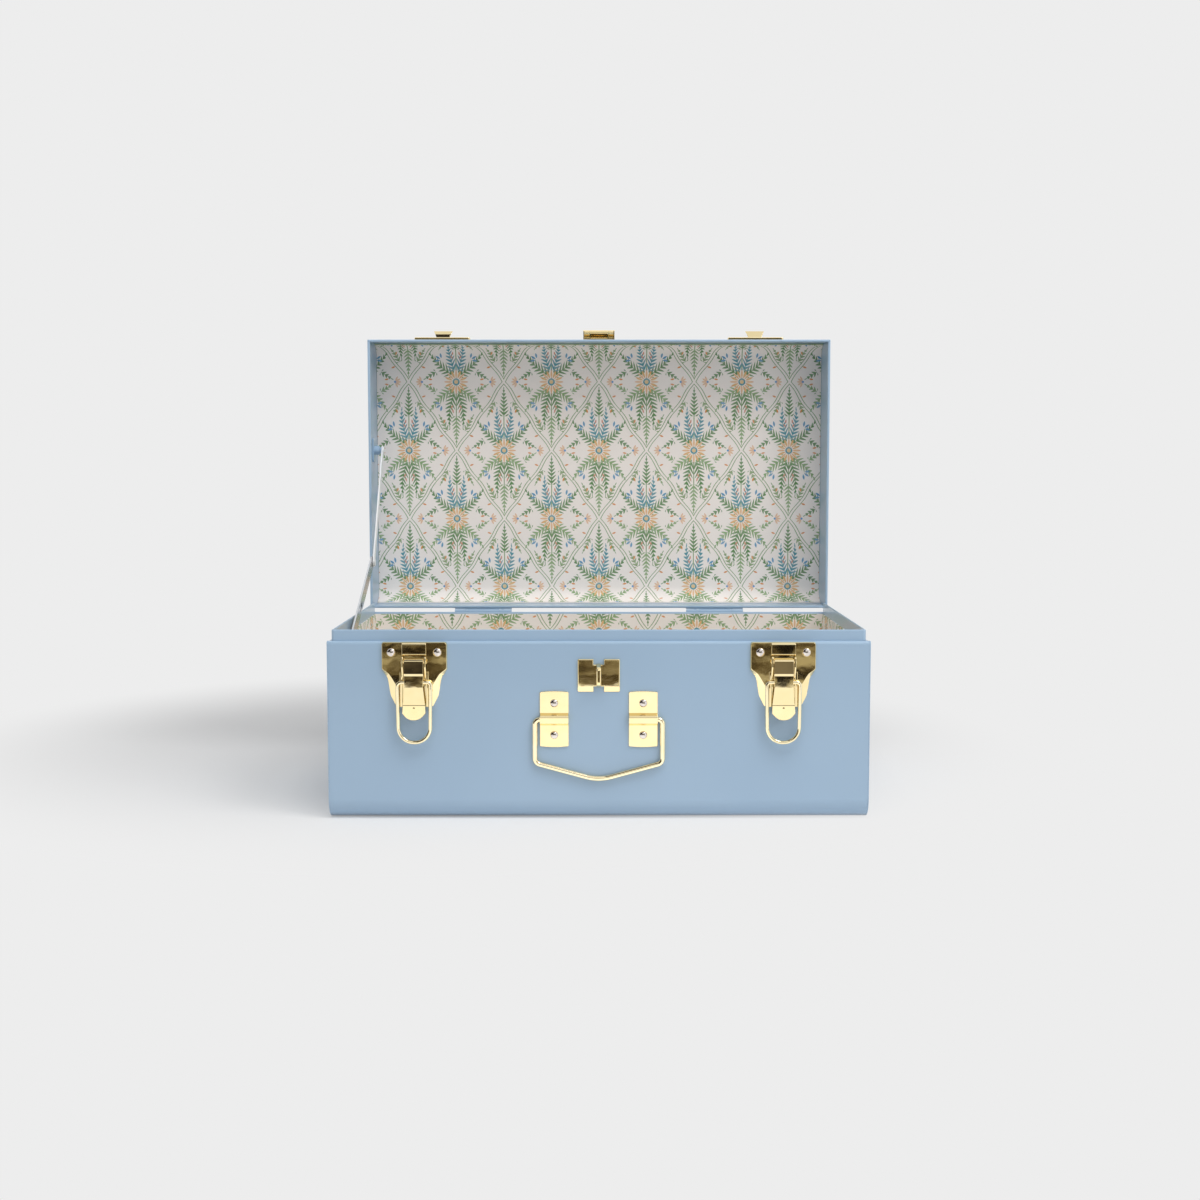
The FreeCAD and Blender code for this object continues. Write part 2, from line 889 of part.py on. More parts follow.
def hinge_rivets(label, side):
    """The two heads on a leaf's back face."""
    spots = [(turn * size.hinge_rivet_spread, side * size.hinge_rivet_drop) for turn in (-1, 1)]
    return rivet_heads(label, spots, size.hinge_out - size.hinge_leaf, size.small_rivet,
                       size.small_rivet_rise, back=True)


def make_hinge(name, side):
    """One hinge: a leaf on the body, a leaf on the lid, the pin and the rivets."""
    across = side * (half_width - size.hinge_inset)
    half = size.hinge_width / 2
    middle = size.hinge_knuckle / 2
    split = middle + size.hinge_side_play
    pin = rod(size.hinge_pin, -half, half)
    on_body = [
        hinge_leaf(name + "_body_leaf", -1, [(-half, -split), (split, half)]),
        hinge_rivets(name + "_body_rivets", -1),
        group(name + "_pin", [pin]),
    ]
    for piece in on_body:
        place(piece, across, hinge_back, size.body_height)
    on_lid = [
        hinge_leaf(name + "_lid_leaf", 1, [(-middle, middle)]),
        hinge_rivets(name + "_lid_rivets", 1),
    ]
    for piece in on_lid:
        place_on_lid(piece, across)


# Draw latches, measured from the parting line on the trunk's front face


def latch_outline(halves, drops, rounds):
    """Latch plate outline: square shoulders, drawn in to a narrow foot."""
    corners = [(half, -drop, bend) for half, drop, bend in zip(halves, drops, rounds)]
    return with_chords(mirrored(corners + [(halves[-1], -drops[-1])]))


def latch_plate(name):
    """The pressed base plate, with its bridge and the two ears that carry the lever."""
    body = new_body(name + "_plate")
    halves = [size.latch_half, size.latch_half, size.latch_waist_half, size.latch_hip_half,
              size.latch_foot_half]
    drops = [size.latch_top, size.latch_shoulder_drop, size.latch_waist_drop,
             size.latch_hip_drop, size.latch_foot_drop]
    rounds = [size.latch_corner, size.latch_corner, size.latch_waist_round,
              size.latch_hip_round]
    foot = draw(new_sketch(body, "XZ_Plane"), latch_outline(halves, drops, rounds))
    inner = size.latch_half - size.latch_bevel
    halves = [inner, inner, size.latch_face_waist_half, size.latch_face_hip_half,
              size.latch_face_foot_half]
    drops = [size.latch_top + size.latch_bevel, size.latch_shoulder_drop - size.latch_bevel,
             size.latch_face_waist_drop, size.latch_face_hip_drop, size.latch_foot_drop]
    face = draw(new_sketch(body, "XZ_Plane", size.latch_rise),
                latch_outline(halves, drops, rounds))
    loft = body.newObject("PartDesign::AdditiveLoft", name + "_loft")
    loft.Profile = foot
    loft.Sections = [face]
    loft.Ruled = True
    body.Tip = loft
    bridge = mirrored([
        (size.bridge_half, -size.bridge_top),
        (size.bridge_half, -size.bridge_foot),
    ])
    pad(body, draw(new_sketch(body, "XZ_Plane"), bridge), size.bridge_rise)
    rise = -size.bridge_rise.value
    bevel_edges(body, size.bridge_bevel, lambda box: same(box.YMin, rise)
                and same(box.YMax, rise) and same(box.ZMin, box.ZMax))
    root = -size.latch_rise / 2
    ear = [
        (root, -size.ear_top_drop),
        (-size.ear_peak_rise, -size.ear_top_drop, size.ear_round),
        (-size.ear_peak_rise, -size.ear_peak_drop, size.ear_round),
        (-size.rail_rise, -size.ear_slope_drop),
        (root, -size.ear_slope_drop),
    ]
    rail = [
        (root, -size.rail_top_drop),
        (-size.rail_rise, -size.rail_top_drop),
        (-size.rail_rise, -size.latch_foot_drop),
        (root, -size.latch_foot_drop),
    ]
    walls = [(ear, size.ear_inner_half, size.ear_outer_half),
             (rail, size.rail_inner_half, size.rail_outer_half)]
    for profile, inner, outer in walls:
        for start in (-outer, inner):
            pad(body, draw(new_sketch(body, "YZ_Plane", start), profile), outer - inner)
    hole = draw_circle(new_sketch(body, "YZ_Plane"), -size.pivot_rise, -size.pivot_drop,
                       size.latch_pin + size.play)
    cut(body, hole)
    return body


def latch_lever(name):
    """The channel-shaped lever, with its finger tab bent outwards."""
    body = new_body(name + "_lever")
    hub_out = size.pivot_rise + size.lever_hub
    hub_in = size.pivot_rise - size.lever_hub
    hub_top = size.pivot_drop - size.lever_hub
    neck_in = size.lever_neck_rise - size.lever_sheet
    side = [
        (-hub_out, -hub_top, size.lever_hub_round),
        (-size.lever_crest_rise, -size.lever_crest_drop, size.lever_crease),
        (-size.lever_step_rise, -size.lever_step_drop, size.lever_crease),
        (-size.lever_step_rise, -size.lever_bend_drop, size.lever_crease),
        (-size.lever_neck_rise, -size.lever_neck_drop, size.lever_hub),
        (-size.lever_tip_rise, -size.lever_tip_drop),
        (size.lever_sheet - size.lever_tip_rise, -size.lever_tip_drop),
        (-neck_in, -size.lever_neck_drop, size.lever_hub_round),
        (-size.loop_rise + size.lever_crease, -(size.lever_flange_drop + size.lever_hub),
         size.lever_crease),
        (-size.lever_back_rise, -size.lever_flange_drop + size.lever_hub, size.lever_hub),
        (-hub_in, -hub_top, size.lever_hub_round),
    ]
    sketch = draw(new_sketch(body, "YZ_Plane"), side)
    pad(body, sketch, 2 * size.lever_tab_half, both=True)
    outside = size.overrun - size.lever_back_rise / 2
    hollow = [
        (outside, -size.lever_hollow_drop),
        (size.lever_sheet - hub_out, -size.lever_hollow_drop),
        (size.lever_sheet - size.lever_crest_rise, -size.lever_crest_drop),
        (size.lever_sheet - size.lever_step_rise, -size.lever_step_drop),
        (size.lever_sheet - size.lever_step_rise, -size.lever_bend_drop),
        (-neck_in, -size.lever_flange_drop),
        (-neck_in, -size.lever_flange_drop - size.lever_hub),
        (outside, -size.lever_flange_drop - size.lever_hub),
    ]
    cut(body, draw(new_sketch(body, "YZ_Plane"), hollow), 2 * size.lever_hollow_half)
    front = mirrored([
        (size.lever_half, -hub_top + size.overrun),
        (size.lever_half, -size.lever_step_drop),
        (size.lever_waist_half, -size.lever_bend_drop),
        (size.lever_neck_half, -size.lever_neck_drop),
        (size.lever_tab_half, -size.lever_tab_drop, size.lever_crease),
        (size.lever_tab_flat, -size.lever_tip_drop, size.lever_tab_round),
    ])
    margin = size.lever_tab_half + size.overrun
    frame = mirrored([
        (margin, -hub_top + 2 * size.overrun),
        (margin, -size.lever_tip_drop - size.overrun),
    ])
    sketch = draw(new_sketch(body, "XZ_Plane"), front)
    cut(body, draw(sketch, frame))
    holes = new_sketch(body, "YZ_Plane")
    draw_circle(holes, -size.pivot_rise, -size.pivot_drop, size.latch_pin + size.play)
    draw_circle(holes, -size.loop_rise, -size.loop_drop, size.loop_wire + size.play)
    cut(body, holes)
    return body


def bent_wire(label, corners, rise, radius):
    """A wire, round in flat facets, along a rounded path that lies off the front face."""
    body = new_body(label)
    path = draw(new_sketch(body, "XZ_Plane", rise), with_chords(corners), closed=False)
    section = body.newObject("Sketcher::SketchObject", label + "_section")
    section.AttachmentSupport = [(path, "Edge1")]
    section.MapMode = "NormalToEdge"
    draw(section, ring_corners(0, 0, radius, WIRE_SIDES))
    pipe = body.newObject("PartDesign::AdditivePipe", label + "_pipe")
    pipe.Profile = section
    pipe.Spine = (path, [])
    pipe.Transition = "Right corner"
    body.Tip = pipe
    return body


def make_latch(name, side):
    """One draw latch on the front face."""
    across = side * (half_width - size.latch_inset)
    corners = mirrored([
        (size.loop_end_half, -size.loop_drop),
        (size.loop_top_half, -size.loop_drop, size.loop_shoulder_round),
        (size.loop_foot_half, -size.loop_foot_drop, size.loop_foot_round),
    ])
    half = size.ear_outer_half + size.pin_proud
    pin = rod(size.latch_pin, -half, half)
    place(pin, -half, -size.pivot_rise, -size.pivot_drop)
    spots = [(turn * size.latch_rivet_spread, -size.latch_rivet_drop) for turn in (-1, 1)]
    pieces = [
        latch_plate(name),
        latch_lever(name),
        bent_wire(name + "_loop", corners, size.loop_rise, size.loop_wire),
        group(name + "_pin", [pin]),
        rivet_heads(name + "_rivets", spots, size.latch_rise, size.rivet, size.rivet_rise),
    ]
    for piece in pieces:
        place(piece, across, -half_depth, size.body_height)


# Catch plates on the lid, measured from the hinge line on the lid's front face


def catch_plate(name):
    """The plate on the lid, with the flared hook that takes the latch's loop."""
    body = new_body(name + "_plate")
    outline = mirrored([
        (size.catch_half, size.catch_start, size.catch_corner),
        (size.catch_half, size.catch_shoulder, size.catch_corner),
        (size.catch_waist_half, size.catch_waist, size.catch_waist_round),
        (size.catch_top_half, size.catch_top, size.catch_corner),
    ])
    pad(body, draw(new_sketch(body, "XZ_Plane"), outline), size.catch_rise)
    rise = -size.catch_rise.value
    bevel_edges(body, size.latch_bevel, lambda box: same(box.YMin, rise) and same(box.YMax, rise))
    stages = [
        (size.hook_root_half, size.hook_root_start, size.catch_rise / 2),
        (size.hook_mid_half, size.hook_mid_start, size.hook_mid_rise),
        (size.hook_tip_half, size.hook_tip_start, size.hook_tip_rise),
    ]
    sections = []
    for half, start, rise in stages:
        outline = mirrored([(half, start), (half, start + size.hook_sheet)])
        sections.append(draw(new_sketch(body, "XZ_Plane", rise), outline))
    loft = body.newObject("PartDesign::AdditiveLoft", name + "_hook")
    loft.Profile = sections[0]
    loft.Sections = sections[1:]
    loft.Ruled = True
    body.Tip = loft
    return body


def make_catch(name, side):
    """One catch on the lid's front."""
    spots = [(turn * size.latch_rivet_spread, size.catch_rivet_up) for turn in (-1, 1)]
    heads = rivet_heads(name + "_rivets", spots, size.catch_rise, size.rivet,
                        size.catch_rivet_rise)
    for piece in (catch_plate(name), heads):
        place_on_lid(piece, side * (half_width - size.latch_inset), lid_front)


# Hasp: the staple plate on the body, the bracket and the flap on the lid


def make_hasp_plate():
    """The notched plate with the upright padlock staple pressed out of it."""
    body = new_body("hasp_plate")
    outline = mirrored([
        (size.hasp_notch_half, -size.hasp_top_drop - size.hasp_notch),
        (size.hasp_notch_half, -size.hasp_top_drop),
        (size.hasp_half, -size.hasp_top_drop, size.hasp_corner),
        (size.hasp_half, -size.hasp_foot_drop, size.hasp_corner),
        (size.hasp_notch_half, -size.hasp_foot_drop),
        (size.hasp_notch_half, -size.hasp_foot_drop + size.hasp_notch),
    ])
    pad(body, draw(new_sketch(body, "XZ_Plane"), outline), size.hasp_rise)
    rise = -size.hasp_rise.value
    bevel_edges(body, size.hasp_bevel, lambda box: same(box.YMin, rise) and same(box.YMax, rise))
    flange = [
        (-size.hasp_rise, size.hasp_flange - size.hasp_foot_drop),
        (-size.hasp_flange_rise, -size.hasp_foot_drop),
        (-size.hasp_flange_rise, -size.hasp_foot_drop - size.overrun),
        (-size.hasp_rise - size.overrun, -size.hasp_foot_drop - size.overrun),
        (-size.hasp_rise - size.overrun, size.hasp_flange - size.hasp_foot_drop),
    ]
    cut(body, draw(new_sketch(body, "YZ_Plane"), flange))
    middle = (size.hasp_top_drop + size.hasp_foot_drop) / 2
    top = size.staple_half_height - middle
    foot = -size.staple_half_height - middle
    root = -size.hasp_rise / 2
    staple = [
        (root, top),
        (-size.hasp_rise, top),
        (-size.staple_rise, top - size.staple_shoulder, size.staple_round),
        (-size.staple_rise, foot + size.staple_shoulder, size.staple_round),
        (-size.hasp_rise, foot),
        (root, foot),
    ]
    pad(body, draw(new_sketch(body, "YZ_Plane"), staple), 2 * size.staple_half, both=True)
    shin = (-size.hasp_rise - size.staple_bevel).value
    bevel_edges(body, size.staple_bevel, lambda box: same(box.XMin, box.XMax)
                and box.YMin < shin and same(abs(box.XMin), size.staple_half.value))
    hole = draw_circle(new_sketch(body, "YZ_Plane"), -size.staple_hole_rise, -middle,
                       size.staple_hole)
    cut(body, hole)
    place(body, 0, -half_depth, size.body_height)


def make_hasp_bracket():
    """The pressed tray on the lid whose side knuckles carry the flap's pin."""
    body = new_body("hasp_bracket")
    end = size.bracket_start + size.bracket_length
    neck = size.bracket_start + size.bracket_tongue
    floor = mirrored([
        (size.bracket_tongue_half, size.bracket_start),
        (size.bracket_tongue_half, neck),
        (size.bracket_half, neck),
        (size.bracket_half, end),
    ])
    pad(body, draw(new_sketch(body, "XZ_Plane"), floor), size.bracket_sheet)
    barrel_top = size.hasp_pivot_rise + size.hasp_barrel
    wall = [
        (0, size.bracket_start),
        (-barrel_top, size.bracket_start, size.hasp_pin),
        (-barrel_top, size.hasp_pivot_up + size.hasp_barrel, size.hasp_pin),
        (-size.bracket_wall_rise, size.hasp_pivot_up + size.hasp_barrel + size.hasp_pin),
        (-size.bracket_wall_rise, end),
        (0, end),
    ]
    for start in (-size.bracket_half, size.bracket_half - size.bracket_sheet):
        pad(body, draw(new_sketch(body, "YZ_Plane", start), wall), size.bracket_sheet)
    back = mirrored([
        (size.bracket_half, end - size.bracket_sheet),
        (size.bracket_half, end),
    ])
    pad(body, draw(new_sketch(body, "XZ_Plane"), back), size.bracket_wall_rise)
    inner = size.hasp_knuckle_half + size.hasp_side_play
    for start in (-size.bracket_half, inner):
        sketch = new_sketch(body, "YZ_Plane", start)
        draw_circle(sketch, -size.hasp_pivot_rise, size.hasp_pivot_up, size.hasp_barrel)
        pad(body, sketch, size.bracket_half - inner)
    bore = draw_circle(new_sketch(body, "YZ_Plane"), -size.hasp_pivot_rise, size.hasp_pivot_up,
                       size.hasp_pin + size.play)
    cut(body, bore)
    place_on_lid(body, 0, lid_front)


def make_hasp_flap():
    """The slotted flap, folded back over its bracket."""
    body = new_body("hasp_flap")
    outer = size.hasp_pivot_rise + size.hasp_barrel
    inner = outer - size.flap_sheet
    shoulder = size.hasp_pivot_up + size.flap_neck
    end = size.hasp_pivot_up + size.flap_length
    outline = mirrored([
        (size.hasp_knuckle_half, size.hasp_pivot_up),
        (size.hasp_knuckle_half, shoulder),
        (size.bracket_half, shoulder, size.hasp_corner),
        (size.bracket_half, end, size.flap_corner),
    ])
    pad(body, draw(new_sketch(body, "XZ_Plane", inner), outline), size.flap_sheet)
    knuckle = new_sketch(body, "YZ_Plane")
    draw_circle(knuckle, -size.hasp_pivot_rise, size.hasp_pivot_up, size.hasp_barrel)
    pad(body, knuckle, 2 * size.hasp_knuckle_half, both=True)
    bore = draw_circle(new_sketch(body, "YZ_Plane"), -size.hasp_pivot_rise, size.hasp_pivot_up,
                       size.hasp_pin + size.play)
    cut(body, bore)
    middle = (size.hasp_top_drop + size.hasp_foot_drop) / 2 + 2 * size.hasp_pivot_up
    reach = size.staple_half_height + size.slot_clear
    slot = mirrored([
        (size.slot_half, middle - reach, size.hasp_corner),
        (size.slot_half, middle + reach, size.hasp_corner),
    ])
    sketch = draw(new_sketch(body, "XZ_Plane", inner + size.flap_sheet / 2), slot)
    cut(body, sketch, 2 * size.flap_sheet)
    place_on_lid(body, 0, lid_front)


def make_hasp_pin():
    """The pin of the hasp flap."""
    pin = rod(size.hasp_pin, -size.bracket_half, size.bracket_half)
    place(pin, -size.bracket_half, -size.hasp_pivot_rise, size.hasp_pivot_up)
    place_on_lid(group("hasp_pin", [pin]), 0, lid_front)


def make_hasp_rivets():
    """The heads that hold the bracket to the lid."""
    spots = [(turn * size.bracket_rivet_spread, size.bracket_rivet_up) for turn in (-1, 1)]
    heads = rivet_heads("hasp_rivets", spots, size.bracket_sheet, size.small_rivet,
                        size.small_rivet_rise)
    place_on_lid(heads, 0, lid_front)


# Carrying handle, measured from its axis on the front face


def make_handle_bracket(label, side):
    """A riveted strap, pressed into a half barrel over the wire."""
    body = new_body(label)
    half = size.handle_plate_half
    outline = [
        (-half, size.handle_plate_reach, size.handle_corner),
        (0, size.handle_plate_crown, size.handle_crown_round),
        (half, size.handle_plate_reach, size.handle_corner),
        (half, -size.handle_plate_reach, size.handle_corner),
        (0, -size.handle_plate_crown, size.handle_crown_round),
        (-half, -size.handle_plate_reach, size.handle_corner),
    ]
    pad(body, draw(new_sketch(body, "XZ_Plane"), outline), size.handle_plate)
    root = -size.handle_plate / 2
    barrel = [
        (root, -size.barrel_foot_half),
        (-size.handle_plate, -size.barrel_foot_half),
        (-size.barrel_rise, -size.barrel_half, size.barrel_round),
        (-size.barrel_rise, size.barrel_half, size.barrel_round),
        (-size.handle_plate, size.barrel_foot_half),
        (root, size.barrel_foot_half),
    ]
    pad(body, draw(new_sketch(body, "YZ_Plane"), barrel), 2 * half, both=True)
    bore = size.handle_wire + size.play
    sketch = draw_circle(new_sketch(body, "YZ_Plane"), -size.handle_axis_rise, 0, bore)
    cut(body, sketch)
    mouth = [
        (size.overrun, -bore),
        (-size.handle_axis_rise, -bore),
        (-size.handle_axis_rise, bore),
        (size.overrun, bore),
    ]
    cut(body, draw(new_sketch(body, "YZ_Plane"), mouth))
    place(body, side * size.handle_spread, -half_depth, size.handle_height)


def make_handle():
    """The wire bail that hangs in two riveted brackets."""
    right = [
        (size.bail_end_half, 0),
        (size.bail_half, 0, size.bail_top_round),
        (size.bail_half, -size.bail_side, size.bail_side_round),
    ]
    foot = [[0, -size.bail_drop, size.bail_foot_round]]
    corners = mirrored(right)
    corners = corners[:len(right)] + foot + corners[len(right):]
    bail = bent_wire("handle_bail", corners, size.handle_axis_rise, size.handle_wire)
    place(bail, 0, -half_depth, size.handle_height)
    for label, side in (("handle_bracket_left", -1), ("handle_bracket_right", 1)):
        make_handle_bracket(label, side)
    spots = [(side * size.handle_spread, turn * size.handle_rivet_up)
             for side in (-1, 1) for turn in (-1, 1)]
    heads = rivet_heads("handle_rivets", spots, size.handle_plate, size.small_rivet,
                        size.small_rivet_rise)
    place(heads, 0, -half_depth, size.handle_height)


# Lid stay: two flat links that fold towards the hinge as the lid comes down


stay_foot_y = size.stay_foot_start - half_depth
stay_foot_z = size.stay_foot_height
stay_lid_y = hinge_back - size.stay_lid_forward * lid_cos + size.stay_lid_up * lid_sin
stay_lid_z = size.body_height + size.stay_lid_forward * lid_sin + size.stay_lid_up * lid_cos
span_y = stay_lid_y - stay_foot_y
span_z = stay_lid_z - stay_foot_z
span = square_root(span_y * span_y + span_z * span_z)
lower_link = (span + size.stay_slack) * LOWER_LINK_SHARE
upper_link = (span + size.stay_slack) * (1 - LOWER_LINK_SHARE)
foot_cosine = (lower_link * lower_link + span * span
               - upper_link * upper_link) / (2 * lower_link * span)
lower_angle = direction(span_y, span_z) - arc_cosine(foot_cosine)
elbow_y = stay_foot_y + lower_link * cosine(lower_angle)
elbow_z = stay_foot_z + lower_link * sine(lower_angle)
upper_angle = direction(stay_lid_y - elbow_y, stay_lid_z - elbow_z)

lining_wall = lining_face + size.board - half_width
foot_plate_face = lining_wall + size.foot_plate
lower_outer = foot_plate_face + size.link_gap / 2
lower_inner = lower_outer + size.lower_sheet
upper_outer = lower_inner + size.link_gap
upper_inner = upper_outer + size.upper_sheet


def stay_link(label, length, half, start, thick, angle, back, up):
    """A flat link with a hole at each end, turned about its first hole."""
    body = new_body(label)
    bend = half * ROUND_END_SHARE
    outline = [
        (-half, -half, bend),
        (length + half, -half, bend),
        (length + half, half, bend),
        (-half, half, bend),
    ]
    pad(body, draw(new_sketch(body, "YZ_Plane", start), outline), thick)
    holes = new_sketch(body, "YZ_Plane")
    draw_circle(holes, 0, 0, size.stay_rivet + size.play)
    draw_circle(holes, length, 0, size.stay_rivet + size.play)
    cut(body, holes, 2 * size.trunk_width)
    body.Placement = FreeCAD.Placement(Vector(), FreeCAD.Rotation(Vector(1, 0, 0), angle.value))
    bind(body, "Placement.Rotation.Angle", angle)
    place(body, 0, back, up)
    return body


def make_stay():
    """The folding stay on the left wall, with its rivets and its two mountings."""
    lower = stay_link("stay_lower_link", lower_link, size.lower_half, lower_outer,
                      size.lower_sheet, lower_angle, stay_foot_y, stay_foot_z)
    bend = size.link_slot_half * ROUND_END_SHARE
    slot = [
        (size.link_slot_start, -size.link_slot_half, bend),
        (size.link_slot_end, -size.link_slot_half, bend),
        (size.link_slot_end, size.link_slot_half, bend),
        (size.link_slot_start, size.link_slot_half, bend),
    ]
    cut(lower, draw(new_sketch(lower, "YZ_Plane"), slot), 2 * size.trunk_width)
    stay_link("stay_upper_link", upper_link, size.upper_half, upper_outer,
              size.upper_sheet, upper_angle, elbow_y, elbow_z)
    foot = new_body("stay_foot_plate")
    outline = mirrored([
        (size.foot_plate_half, size.foot_plate_reach, size.foot_plate_corner),
        (size.foot_plate_half, -size.foot_plate_reach, size.foot_plate_corner),
    ])
    pad(foot, draw(new_sketch(foot, "YZ_Plane", lining_wall), outline), size.foot_plate)
    place(foot, 0, stay_foot_y, stay_foot_z)
    head_start = lower_inner + size.link_gap / 2
    foot_rivet = fused("stay_foot_rivet", [
        rod(size.stay_rivet, foot_plate_face, head_start + size.stay_head_rise),
        disc(size.stay_head, head_start, head_start + size.stay_head_rise),
    ])
    place(foot_rivet, 0, stay_foot_y, stay_foot_z)
    tail_end = lower_outer - size.link_gap / 2
    elbow_head = upper_inner + size.link_gap / 2
    elbow_rivet = fused("stay_elbow_rivet", [
        rod(size.stay_rivet, tail_end, elbow_head + size.stay_head_rise),
        disc(size.stay_head, tail_end - size.stay_head_rise, tail_end),
        disc(size.stay_head, elbow_head, elbow_head + size.stay_head_rise),
    ])
    place(elbow_rivet, 0, elbow_y, elbow_z)
    lid_rivet = fused("stay_lid_rivet", [
        rod(size.stay_rivet, upper_outer, elbow_head + size.stay_head_rise),
        disc(size.stay_head, elbow_head, elbow_head + size.stay_head_rise),
    ])
    place(lid_rivet, 0, stay_lid_y, stay_lid_z)
    make_stay_lid_bracket()


def make_stay_lid_bracket():
    """The plate and stud on the lid's left wall, clear of the link by a small gap."""
    body = new_body("stay_lid_bracket")
    wall = size.sheet - half_width
    outline = mirrored([
        (size.lid_plate_half, size.lid_plate_reach, size.foot_plate_corner),
        (size.lid_plate_half, -size.lid_plate_reach, size.foot_plate_corner),
    ])
    outline = [[corner[0] - size.stay_lid_forward, corner[1] + size.stay_lid_up, corner[2]]
               for corner in outline]
    pad(body, draw(new_sketch(body, "YZ_Plane", wall), outline), size.lid_plate)
    for radius, end in ((size.lid_boss, lower_outer), (size.lid_stud, upper_outer - size.link_gap)):
        sketch = new_sketch(body, "YZ_Plane", wall)
        draw_circle(sketch, -size.stay_lid_forward, size.stay_lid_up, radius)
        pad(body, sketch, end - wall)
    place_on_lid(body)


def check_document():
    """Stop if any object failed or any node has no valid shape."""
    doc.recompute()
    for item in doc.Objects:
        if "Invalid" in item.State or "Error" in item.State:
            raise RuntimeError("%s (%s): %s" % (item.Name, item.Label, item.State))
    for node in nodes:
        if node.Shape.isNull() or not node.Shape.isValid():
            raise RuntimeError("%s has no valid shape" % node.Label)


def main():
    """Build every sub-part and write each one to its own file."""
    make_body_wrap()
    make_body_end("body_end_left", -1)
    make_body_end("body_end_right", 1)
    make_body_rim()
    make_body_lining()
    make_lining_end("lining_end_left", -1)
    make_lining_end("lining_end_right", 1)
    make_lid_wrap()
    make_lid_end("lid_end_left", -1)
    make_lid_end("lid_end_right", 1)
    make_lid_lining()
    make_hinge("hinge_left", -1)
    make_hinge("hinge_right", 1)
    make_latch("latch_left", -1)
    make_latch("latch_right", 1)
    make_catch("catch_left", -1)
    make_catch("catch_right", 1)
    make_hasp_plate()
    make_hasp_bracket()
    make_hasp_flap()
    make_hasp_pin()
    make_hasp_rivets()
    make_handle()
    make_stay()
    check_document()
    os.makedirs("parts", exist_ok=True)
    for node in nodes:
        node.Shape.exportStep("parts/%s.step" % node.Label)
        print(node.Label, len(node.Shape.Solids), round(node.Shape.Volume, 1))


main()
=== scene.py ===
"""Steel keepsake trunk with its lid standing open, dressed for a studio picture."""

import json
import logging
import math
from dataclasses import dataclass
from enum import Enum
from typing import Any, Optional, Sequence

import bmesh
import bpy
from bpy.types import Material, Mesh, Node, NodeSocket, NodeTree, Object
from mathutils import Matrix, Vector

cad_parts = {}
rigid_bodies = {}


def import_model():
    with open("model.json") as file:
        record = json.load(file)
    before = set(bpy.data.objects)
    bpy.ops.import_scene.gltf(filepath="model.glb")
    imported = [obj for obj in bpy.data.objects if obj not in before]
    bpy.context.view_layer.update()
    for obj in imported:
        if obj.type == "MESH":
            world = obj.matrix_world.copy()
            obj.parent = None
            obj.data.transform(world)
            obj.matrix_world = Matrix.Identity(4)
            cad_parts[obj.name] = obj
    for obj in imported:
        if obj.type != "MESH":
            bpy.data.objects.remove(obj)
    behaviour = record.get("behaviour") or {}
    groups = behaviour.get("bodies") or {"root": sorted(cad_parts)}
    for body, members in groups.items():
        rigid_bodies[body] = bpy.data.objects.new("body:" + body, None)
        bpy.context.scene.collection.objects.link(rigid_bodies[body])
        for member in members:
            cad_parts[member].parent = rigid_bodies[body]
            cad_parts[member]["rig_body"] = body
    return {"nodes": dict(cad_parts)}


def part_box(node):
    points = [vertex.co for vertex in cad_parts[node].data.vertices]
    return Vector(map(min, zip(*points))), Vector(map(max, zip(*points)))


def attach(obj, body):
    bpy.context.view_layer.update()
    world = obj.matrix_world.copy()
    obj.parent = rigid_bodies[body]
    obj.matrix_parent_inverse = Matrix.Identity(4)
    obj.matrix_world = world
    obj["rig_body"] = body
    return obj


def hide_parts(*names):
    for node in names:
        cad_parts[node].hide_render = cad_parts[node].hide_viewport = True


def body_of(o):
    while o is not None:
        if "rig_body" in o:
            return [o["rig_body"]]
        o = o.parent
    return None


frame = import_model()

log = logging.getLogger("trunk")
MM = 0.001
SIDES = ("left", "right")
MATH = "ShaderNodeMath"
VECTOR_MATH = "ShaderNodeVectorMath"
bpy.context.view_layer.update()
# Corners of a CAD mesh nearer than this are one corner
MERGE_MM = 0.002
# Facets of a CAD mesh that turn less than this from each other are one flat face
FLAT_ANGLE = math.radians(0.6)
# An outer edge that turns further than this is broken
EDGE_ANGLE = math.radians(32)
# Faces that turn less than this from each other are shaded as one
SMOOTH_ANGLE = math.radians(50)


def linear(code: str) -> tuple[float, float, float, float]:
    """Turn an sRGB hex colour into the linear colour that shaders take.

    Args:
        code: Colour such as "#A9BFD4".

    Returns:
        Red, green and blue in linear light, and full opacity.
    """
    parts = [int(code[index:index + 2], 16) / 255 for index in (1, 3, 5)]
    red, green, blue = [part / 12.92 if part <= 0.04045 else ((part + 0.055) / 1.055) ** 2.4
                        for part in parts]
    return (red, green, blue, 1.0)


def add_node(tree: NodeTree, kind: str, inputs: Optional[dict[Any, Any]] = None,
             **settings: Any) -> Node:
    """Add a node with its values, links and settings.

    Args:
        tree: Tree that takes the node.
        kind: Type of the node.
        inputs: Sockets by name or number, each with a value or with the node or socket it reads.
        settings: Properties of the node by name.

    Returns:
        The new node.
    """
    node = tree.nodes.new(kind)
    for name, value in settings.items():
        setattr(node, name, value)
    for socket, source in (inputs or {}).items():
        if isinstance(source, Node):
            tree.links.new(source.outputs[0], node.inputs[socket])
        elif isinstance(source, NodeSocket):
            tree.links.new(source, node.inputs[socket])
        else:
            node.inputs[socket].default_value = source
    return node


